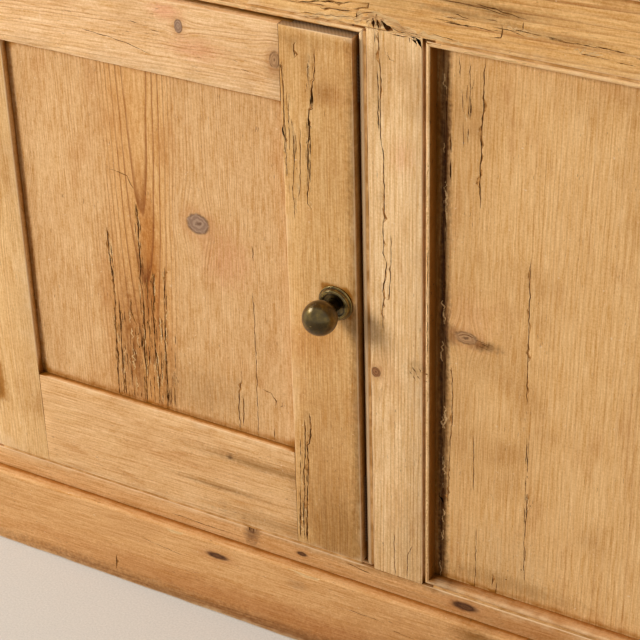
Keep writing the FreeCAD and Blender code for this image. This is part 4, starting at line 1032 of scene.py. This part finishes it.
CRACKS = {
    "door_left_lock_stile": read_cracks("""
        0.8 3: -282.8 645, -283.5 635, -284.6 617, -286.4 615, -287.6 602, -287.4 590, -290.2 588, -291.7 579,
            -290.3 562, -292.2 558, -293.3 531, -294.8 498, -290.5 493;
        1.5 4: -286.9 613, -287.3 603, -286.8 592; 1.4 4: -291.2 582, -290.9 568, -292.4 556;
        0.9 3: -301.7 647.5, -303.4 644.9, -303.2 633.2;
        0.7 3: -315.2 628, -315.0 596, -315.4 573, -315.4 546, -313.6 541;
        0.5 2: -305.8 564, -307.3 552.7, -306.9 537.5, -309.1 506, -308.4 496;
        0.5 2: -299.8 569, -299.9 550, -301.6 519, -303.3 499;
        0.9 3: -305.6 270, -305.6 248, -306.7 227, -308.4 211, -307.9 192, -309.9 168, -310.5 149, -310.1 129;
        1.0 3: -300.5 278, -299 264, -299.8 252, -301.5 243, -304 241, -303.4 232, -304.1 207, -305.3 186,
            -306.6 162, -307.4 127; 0.8 3: -313.4 190, -313.6 167, -315 147, -314.6 128;
        0.6 3 9.0: -306 270, -308 200, -310 128; 0.6 3 5.0: -290 640, -291 580, -294 495;
        0.5 2 10.0: -307 600, -308 540, -309 480; 0.5 2 1.6: -314.6 600, -314.8 560, -314.4 520
    """),
    "door_left_top_rail": read_cracks("""
        0.5 2: -447.8 632, -437.6 631.1; 0.5 2: -520 619, -493 616.8, -472.4 614.2, -448.8 608.4;
        0.6 2: -356 612.4, -346.1 611; 0.4 2: -470 636, -458 635
    """),
    "door_left_panel": read_cracks("""
        1.1 4: -483 449, -482.6 439, -482.6 427, -483.6 403, -483.5 384, -485.5 368, -483.8 349, -484.2 331,
            -485 308, -487.8 289, -487 271, -489.1 226;
        1.0 4: -518.5 416, -519 388, -516.9 362, -516.7 340, -519.3 312, -519.2 289, -520.2 266, -521.5 240,
            -521.6 226; 0.9 3: -512.5 330, -513.5 300, -514.5 277, -515.5 254, -515.3 228;
        0.8 3: -498 343, -499.5 331, -497.5 323, -493.6 315;
        0.9 4: -467.7 379, -470.9 367, -471.1 352, -473.7 334, -473.3 312, -474.8 293, -472.8 275, -472.9 255,
            -474.6 230;
        0.9 4: -456.9 388, -457.2 371, -459.7 353, -460.2 333, -461.2 315, -463.1 296, -462.2 278, -464 255,
            -465.1 227; 0.7 3: -459.5 254, -460.3 228;
        0.7 3 6.0: -483 450, -483 400, -485 340, -487 280, -489 228;
        0.7 3 6.0: -518 410, -517 350, -519 290, -521 228; 0.7 3 7.0: -470 380, -473 330, -474 280, -474 230;
        0.7 3 5.0: -457 386, -460 330, -463 280, -464 228; 0.6 2 12.0: -500 330, -503 280, -506 228;
        0.8 3 6.0: -509 345, -511 290, -512 230; 0.8 3 9.0: -493 330, -495 280, -498 230;
        0.7 3 7.0: -478 330, -480 280, -482 230; 0.6 2.4 6.0: -466 340, -467 300, -469 232;
        0.5 2 6.0: -452 320, -454 280, -456 232; 0.8 3: -477.5 372, -478.5 345, -479.8 320, -479 300;
        0.6 2: -360.8 386, -360.4 365, -360.4 322, -362.3 228; 0.6 2: -358.9 436, -358.2 420;
        0.9 3: -377.4 288, -380.3 276, -382.4 257, -382.6 228; 0.7 3: -377.2 272, -376.9 258, -378.6 234;
        1.1 1.6: -354.7 283, -346 281.5, -340.9 274, -341.3 265; 0.6 1.5: -333.2 276.4, -334.1 270, -337 268;
        0.6 2: -343.4 242.6, -344.5 228.5; 0.6 1.0: -512.3 479, -500 478, -490.4 476, -482.9 461
    """),
    "post_left": read_cracks("""
        0.8 4: -226.9 668, -226.8 644, -225.2 626, -226.3 608, -226.2 590, -225.8 571, -223.5 557, -223.7 542,
            -223.2 515, -223.3 503, -224.9 483, -225.1 463, -221.9 455, -223.5 436, -226.2 425, -224.6 419,
            -226.4 402, -226 384; 0.9 4: -228.6 634, -228.3 628, -227.9 606, -228.3 586, -227.6 578;
        0.4 1.2: -221.6 656, -220.9 650, -218.2 648.4; 0.4 1.2: -219.4 652, -217 646, -213 645.2;
        0.8 3: -230.6 669.8, -230.2 655; 0.6 2: -199 669.9, -198.6 664; 0.8 3: -194 669.9, -192.8 662;
        0.9 2: -218 669.2, -209 668.6, -200 669.3; 0.6 2: -200 668.6, -194 667, -188.6 668;
        0.6 2: -189.4 668.4, -187.6 660; 0.6 3: -217.2 483, -217.4 457, -219.7 418, -222.2 417;
        0.6 2: -197.9 155, -202.1 144, -203.3 114; 0.4 2: -216.8 165, -216.1 113;
        0.9 2: -197.4 355, -193.4 349; 0.8 2: -192.4 347, -189.4 344; 0.6 2: -196 346, -194 341;
        0.7 2: -190.6 356, -188.6 351; 0.5 2: -200 350, -198 347; 2.0 3: -187.5 352, -184 350.5, -180.8 350;
        1.2 2.4: -185 344, -182 343;
        1.3 -0.5: -182.6 560, -182.4 520, -182.6 470; 1.3 -0.5: -182.4 400, -182.6 340, -182.4 270;
        1.2 -0.5: -182.6 236, -182.4 180, -182.6 130; 0.5 2: -182.2 480, -182.4 420, -182.2 372
    """),
    "centre_panel": read_cracks("""
        0.9 3: -137 656, -138.5 645, -138 614, -139.8 594, -139.8 566, -140.6 557, -139.4 521;
        0.6 2: -151 652, -150.3 624, -152.2 602; 0.6 2: -160.3 655, -159.8 636; 0.5 2: -157 626, -156.5 606;
        0.5 2: -156.5 597, -155.8 574; 0.9 3: -167.4 585, -167.2 566; 1.0 3: -167.3 560, -167 540;
        0.6 3: -92.5 485, -92.3 420, -92.4 392, -92.4 359, -91.7 339;
        0.6 3: -164.5 357, -163.8 330, -163.9 295, -164.9 293, -165.7 274, -166.5 249, -167.2 206;
        0.5 2: -142.4 290, -141.5 230; 0.6 3: -90.7 304, -90.8 276; 0.8 3: -88.9 244, -89 213;
        0.5 2: -138.4 189, -138.2 144, -138.4 118; 0.8 3: -120.3 141, -121 125; 0.6 2: -116.4 133, -117.2 118;
        0.6 3 3.0: -173 640, -172.4 500, -173 360; 0.6 3 3.0: -172.6 340, -173 220, -173.4 120;
        0.5 1.5 6.0: -148 390, -138 388.6, -128 387; 0.5 1.5: -162 391, -150 394, -140 392;
        1.4 4: -107 140.4, -107 139.2; 1.2 4: -92.3 157, -92.3 156; 1.0 4: -105.2 151, -105.2 150;
        1.2 4: -85.6 232.3, -85.6 231.1; 2.0 -0.3: -124 232, -121 226; 1.6 -0.3: -116 206, -112 204;
        0.5 2 2.5: -90 300, -89.6 210, -89.8 140; 0.5 2 8.0: -150 640, -152 580
    """),
    "middle_rail": read_cracks("""
        0.7 3: -302 681, -281 685.3, -263 686.8, -250 690;
        0.7 3: -250.1 684.2, -245.5 685.2, -236.3 687.4, -235.3 691.8, -245.4 690.2;
        0.7 3: -281 679.6, -258.5 681, -251.1 681.6; 0.8 3: -246.3 682.4, -247.5 676.8;
        0.7 2: -140.6 708.2, -128.3 707.2, -113 705, -99.3 703.1;
        0.5 2: -170 706.4, -150 706.2, -130 705.4, -112 703; 0.7 2: -160 696.4, -143.6 694.1;
        0.7 2: -133.3 697.4, -121.5 697; 0.8 3: -117.8 695.4, -117.3 690.6, -118.4 683.7, -127.8 681.9;
        0.7 3: -99.3 700.4, -99.9 694; 0.6 2: -170 688, -140 689, -124 688;
        0.5 2: -112 692, -104 690, -98 688.5;
        3.4 -0.9: -250 674.6, -242 677.6, -234 680, -226 680.4, -216 678.6, -204 675.8, -192 673;
        2.6 -0.8: -238 674.2, -226 674.8, -212 674.6, -200 672.6, -188 671.4;
        2.0 -0.5: -196 674, -182 671.6, -166 670.6, -150 669.8; 3.0 8: -232.0 680.8, -231.8 676, -231.6 670.9;
        2.8 8: -228.0 680.4, -227.6 675, -227.2 670.9; 4.6 8: -225 680.0, -221.4 675, -214 671.8;
        0.8 3: -219 674.2, -208 671.9, -197 671.2; 0.6 2.4: -206 673.8, -196 672.4, -188 671.6;
        0.9 4: -190.4 671.6, -187.6 669, -185.6 666.4; 0.5 2: -251 676.2, -245 679.6, -238 683.2, -228 685;
        0.6 2: -214 677.6, -205 675, -196 672.6; 0.5 2: -182 676.2, -170 674.6, -156 674;
        2.0 -0.5: -470 666, -440 665.4, -410 666.4; 2.0 -0.5: -396 665.6, -352 666.4, -310 665.6;
        2.4 -0.6: -300 667.4, -276 668.4, -256 669; 1.6 -0.5: -290 672.6, -270 673.6, -250 674.6;
        0.5 2: -300 672.2, -286 673, -262 675, -250 677.4; 1.4 -0.4: -150 665.6, -120 665.2, -96 666;
        0.6 2 10.0: -180 690, -120 690, -60 688, 0 686; 0.5 2 9.0: -330 682, -300 683, -254 684
    """),
    "bottom_rail": read_cracks("""
        2.2 7: -381.0 121, -379.8 113.5; 1.8 7: -375.6 121, -374.8 112; 2.2 7: -370.2 121, -369.4 113;
        1.2 4: -378 116, -376.6 109; 0.9 4: -372.6 115, -373 108;
        0.7 2: -269.3 109.8, -261.7 108.6, -241 105.2; 0.5 2: -470 99.6, -430 98.4, -396 99;
        1.4 -0.4: -520 118.4, -480 118, -450 118.6;
        1.6 -0.5: -372 117.6, -340 117, -318 117.6; 1.4 -0.4: -300 117.4, -270 117.8, -250 117.2
    """),
    "plinth": read_cracks("""
        1.0 2.5: -534.3 33, -535.6 24, -537.4 13; 0.5 2: -263.5 63.6, -241.5 63.4, -221.9 62.3;
        0.4 2: -500 66, -452 61; 1.6 -0.4: -330 90.6, -306 90.2, -290 90.8;
        1.8 -0.5: -470 90.4, -452 90.8, -440 90.2; 0.5 2: -215 56, -190 55
    """),
}
FRONTS = {
    "door_left_lock_stile": DOOR, "door_left_top_rail": DOOR, "door_left_panel": PANEL, "post_left": FACE,
    "centre_panel": FIXED, "middle_rail": FACE, "bottom_rail": FACE, "plinth": PLINTH,
}
# Place of the tree's middle for the boards that the near view shows: across, deep, drift across and deep
PITHS = {
    "door_left_lock_stile": (-420, -180, 0.01, 0.0),
    "door_left_panel": (-478, -190, 0.02, -0.055),
    "door_left_top_rail": (668, -196, 0.04, 0.03),
    "door_left_bottom_rail": (60, -180, 0.02, 0.01),
    "post_left": (-330, -170, 0.01, 0.0),
    "centre_panel": (60, -130, 0.02, 0.0),
    "middle_rail": (760, -190, 0.03, 0.02),
    "bottom_rail": (30, -180, 0.03, 0.0),
}
# Pieces in the photograph's view, which are cut finer and worn more
NEAR = set(PITHS) | {"plinth"}
# How round an arris is, in metres
ARRISES = {
    "door_left_bottom_rail": 0.0006, "door_left_top_rail": 0.0007, "plinth": 0.0024, "top_board": 0.0022,
    "cornice": 0.0014,
}
# How much of the painted shade and dirt that shelter gathers a piece keeps
KEPT_SHADE_AND_GRIME = {"bottom_rail": 0.75}

for name, slot in slot_of.items():
    if not slot.startswith("pine"):
        continue
    worn_piece(
        name,
        cell=0.010 if name in NEAR else 0.025,
        arris=ARRISES.get(name, 0.0006 if slot == "pine_inside" else 0.0012),
        shade_and_grime=KEPT_SHADE_AND_GRIME.get(name, 1.0),
        wear=1.0 if name in NEAR else 0.5,
        pith=PITHS.get(name),
        cracks=CRACKS.get(name, ()),
        front=FRONTS.get(name),
    )


SPLINTER_STEPS = 6


def splinters(name, front, runs, seed):
    """Torn fibres that lie along the grain. A run is two places and a spread across, in mm, and a count."""
    rng = random.Random(seed)
    points, faces = [], []
    for start, stop, spread, count in runs:
        start, stop = (Vector((x, 0.0, z)) / 1000 for x, z in (start, stop))
        ahead = (stop - start).normalized()
        side = Vector((-ahead.z, 0.0, ahead.x))
        for _ in range(count):
            middle = start.lerp(stop, rng.random()) + side * rng.uniform(-spread, spread) / 1000
            way = (ahead + side * rng.uniform(-0.10, 0.10)).normalized()
            over = Vector((-way.z, 0.0, way.x))
            length = min(rng.uniform(0.007, 0.016), (stop - start).length * 0.9)
            half = rng.uniform(0.0003, 0.0008)
            lift = rng.uniform(0.0, 0.0004)
            curl = rng.uniform(-0.0016, 0.0016)
            base = len(points)
            y = front / 1000 + 0.0005
            for k in range(SPLINTER_STEPS + 1):
                t = k / SPLINTER_STEPS
                width = half * (math.sin(math.pi * (0.08 + 0.86 * t)) + 0.05)
                centre = middle + way * (t - 0.5) * length + over * curl * (t - 0.5) ** 2 * 4
                rise = lift * math.sin(math.pi * t) + rng.uniform(0.0, 0.0001)
                foot = Vector((0, y, 0))
                points += [centre - over * width + foot, centre + over * width + foot,
                           centre + Vector((0, y - 0.0006 - rise, 0))]
            for k in range(SPLINTER_STEPS):
                i = base + 3 * k
                faces += [(i, i + 3, i + 5, i + 2), (i + 2, i + 5, i + 4, i + 1), (i + 1, i + 4, i + 3, i)]
            end = base + 3 * SPLINTER_STEPS
            faces += [(base, base + 2, base + 1), (end, end + 1, end + 2)]
    add_piece(name, closed_mesh(name, points, faces, [FRAY]), "carcass", "pine_waxed")


splinters("middle_rail_fray", FACE, [
    ((-246, 676), (-232, 680.5), 2.0, 5), ((-232, 681), (-206, 677.4), 1.6, 7),
    ((-210, 675), (-186, 671.8), 1.6, 6),
    ((-229.6, 672), (-229.4, 680), 0.5, 4), ((-225.4, 672), (-225.6, 679), 0.6, 4),
    ((-236, 672), (-233, 678), 1.0, 3),
    ((-300, 668.6), (-252, 671.6), 1.2, 5), ((-440, 665.8), (-300, 667), 0.8, 5),
], 5)


# The step along a strip of wax, in millimetres, the profile of its face, and the points round it
WAX_STEP = 7
WAX_PROFILE = (-0.5, 0.1, 0.5, 0.1, -0.5)
WAX_RING = len(WAX_PROFILE) + 2


def quirk_wax(name, strips, front, depth, seed):
    """Old wax and dust that fill the quirks beside the beads. A strip is two corners across and up, in mm."""
    rng = random.Random(seed)
    points, faces = [], []
    for (x0, z0), (x1, z1) in strips:
        flat = abs(x1 - x0) > abs(z1 - z0)
        length = max(abs(x1 - x0), abs(z1 - z0))
        count = max(2, round(length / WAX_STEP))
        base = len(points)
        for k in range(count + 1):
            t = k / count
            for j, dip in enumerate(WAX_PROFILE):
                u = j / 4
                x = x0 + (x1 - x0) * (t if flat else u)
                z = z0 + (z1 - z0) * (u if flat else t)
                y = front + depth + dip * 0.8 + rng.uniform(-0.3, 0.3)
                points.append((x / 1000, y / 1000, z / 1000))
            for side in (1, 0):
                x = x0 + (x1 - x0) * t if flat else (x0, x1)[side]
                z = (z0, z1)[side] if flat else z0 + (z1 - z0) * t
                points.append((x / 1000, (front + depth + 1.6) / 1000, z / 1000))
        for k in range(count):
            for j in range(WAX_RING):
                a, b = base + WAX_RING * k + j, base + WAX_RING * k + (j + 1) % WAX_RING
                faces.append((a, b, b + WAX_RING, a + WAX_RING))
        ends = [range(base, base + WAX_RING), range(base + WAX_RING * count, base + WAX_RING * (count + 1))]
        faces += [tuple(ends[0]), tuple(reversed(ends[1]))]
    mesh = closed_mesh(name, points, faces, [WAX])
    for polygon in mesh.polygons:
        polygon.use_smooth = True
    add_piece(name, mesh, "carcass", "pine_waxed")


quirk_wax("quirk_wax_rails", [
    ((-679, 668.1), (-252, 670.4)), ((-176, 668.1), (176, 670.4)), ((252, 668.1), (679, 670.4)),
    ((-679, 113.4), (-252, 115.7)), ((-176, 113.4), (176, 115.7)), ((252, 113.4), (679, 115.7)),
], FACE, 1.3, 7)
quirk_wax("quirk_wax_posts", [
    ((-241.3, 118), (-239, 666)), ((239, 118), (241.3, 666)),
], FACE, 0.7, 8)

# Metal pieces

for name, slot in slot_of.items():
    if not slot.startswith("pine"):
        worn_piece(name, cell=0.02, arris=0.00035, wear=0.08)

# Camera, light and floor

# The camera as fitted to the photograph, place in metres
PLACE = (0.490, -1.548, 1.322)
RIGHT = Vector((0.8709, 0.4907, -0.0261))
UP = Vector((-0.2367, 0.4654, 0.8529))
AHEAD = Vector((-0.4307, 0.7366, -0.5215))
camera = in_scene("camera", bpy.data.cameras.new("camera"))
camera.data.lens = 113.5
camera.data.sensor_width = 36.0
camera.matrix_world = Matrix.Translation(PLACE) @ Matrix((RIGHT, UP, -AHEAD)).transposed().to_4x4()
scene.camera = camera

FLOOR_HALF = 6
floor_mesh = bpy.data.meshes.new("floor")
corners = [(x * FLOOR_HALF, y * FLOOR_HALF, 0) for x, y in ((-1, -1), (1, -1), (1, 1), (-1, 1))]
floor_mesh.from_pydata(corners, [], [(0, 1, 2, 3)])
in_scene("floor", floor_mesh)
material, g = new_material("floor")
place = g.place()
grit = g.noise(place, 500.0, 2.0, 0.6)
matt = g.surface(g.mix(g.ramp(grit, -0.3, 0.3), srgb(184, 177, 166), srgb(202, 195, 185)), 0.95)
# The camera alone sees a glow that grows with the distance, so that the floor passes into the backdrop
x, y, _ = g.separate(place)
far = g.ramp(g.math("SQRT", g.plus(g.times(x, x), g.times(y, y))), 1.2, 5.6, 0.12, 0.84)
seen = g.node("LightPath")["Is Camera Ray"]
g.show(g.add("AddShader", matt, g.add("Emission", srgb(250, 246, 240), g.times(seen, far))))
floor_mesh.materials.append(material)


def area_light(name, place, target, size, energy, color, mirrored=True):
    """A round lamp. mirrored says whether it shows in what is glossy."""
    light = bpy.data.lights.new(name, "AREA")
    light.shape = "DISK"
    light.size = size
    light.energy = energy
    light.color = color
    lamp = in_scene(name, light)
    lamp.location = place
    lamp.visible_glossy = mirrored
    lamp.rotation_euler = (Vector(target) - Vector(place)).to_track_quat("-Z", "Y").to_euler()


area_light("key", (-2.17, -2.65, 1.95), (-0.2, -0.2, 0.6), 1.1, 86.0, (1.0, 0.985, 0.955), mirrored=False)
area_light("back", (2.5, 2.9, 2.6), (0.0, 0.0, 1.0), 1.6, 70.0, (1.0, 0.99, 0.97))
area_light("rake", (-3.1, -0.72, 2.6), (-0.2, -0.2, 0.5), 1.4, 55.0, (1.0, 0.99, 0.97))

world = bpy.data.worlds.new("world")
scene.world = world
world.use_nodes = True
g = Graph(world.node_tree)
g.tree.nodes.clear()
path = g.node("LightPath")
mirrored = g.math("MAXIMUM", path["Is Glossy Ray"], path["Is Transmission Ray"])
seen = g.math("MAXIMUM", path["Is Camera Ray"], mirrored)
ambient = g.add("Background", srgb(255, 252, 246), 0.27)
backdrop = g.add("Background", srgb(250, 249, 247), 1.0)
g.show(g.add("MixShader", seen, ambient, backdrop), "World")

scene.view_settings.view_transform = "Standard"
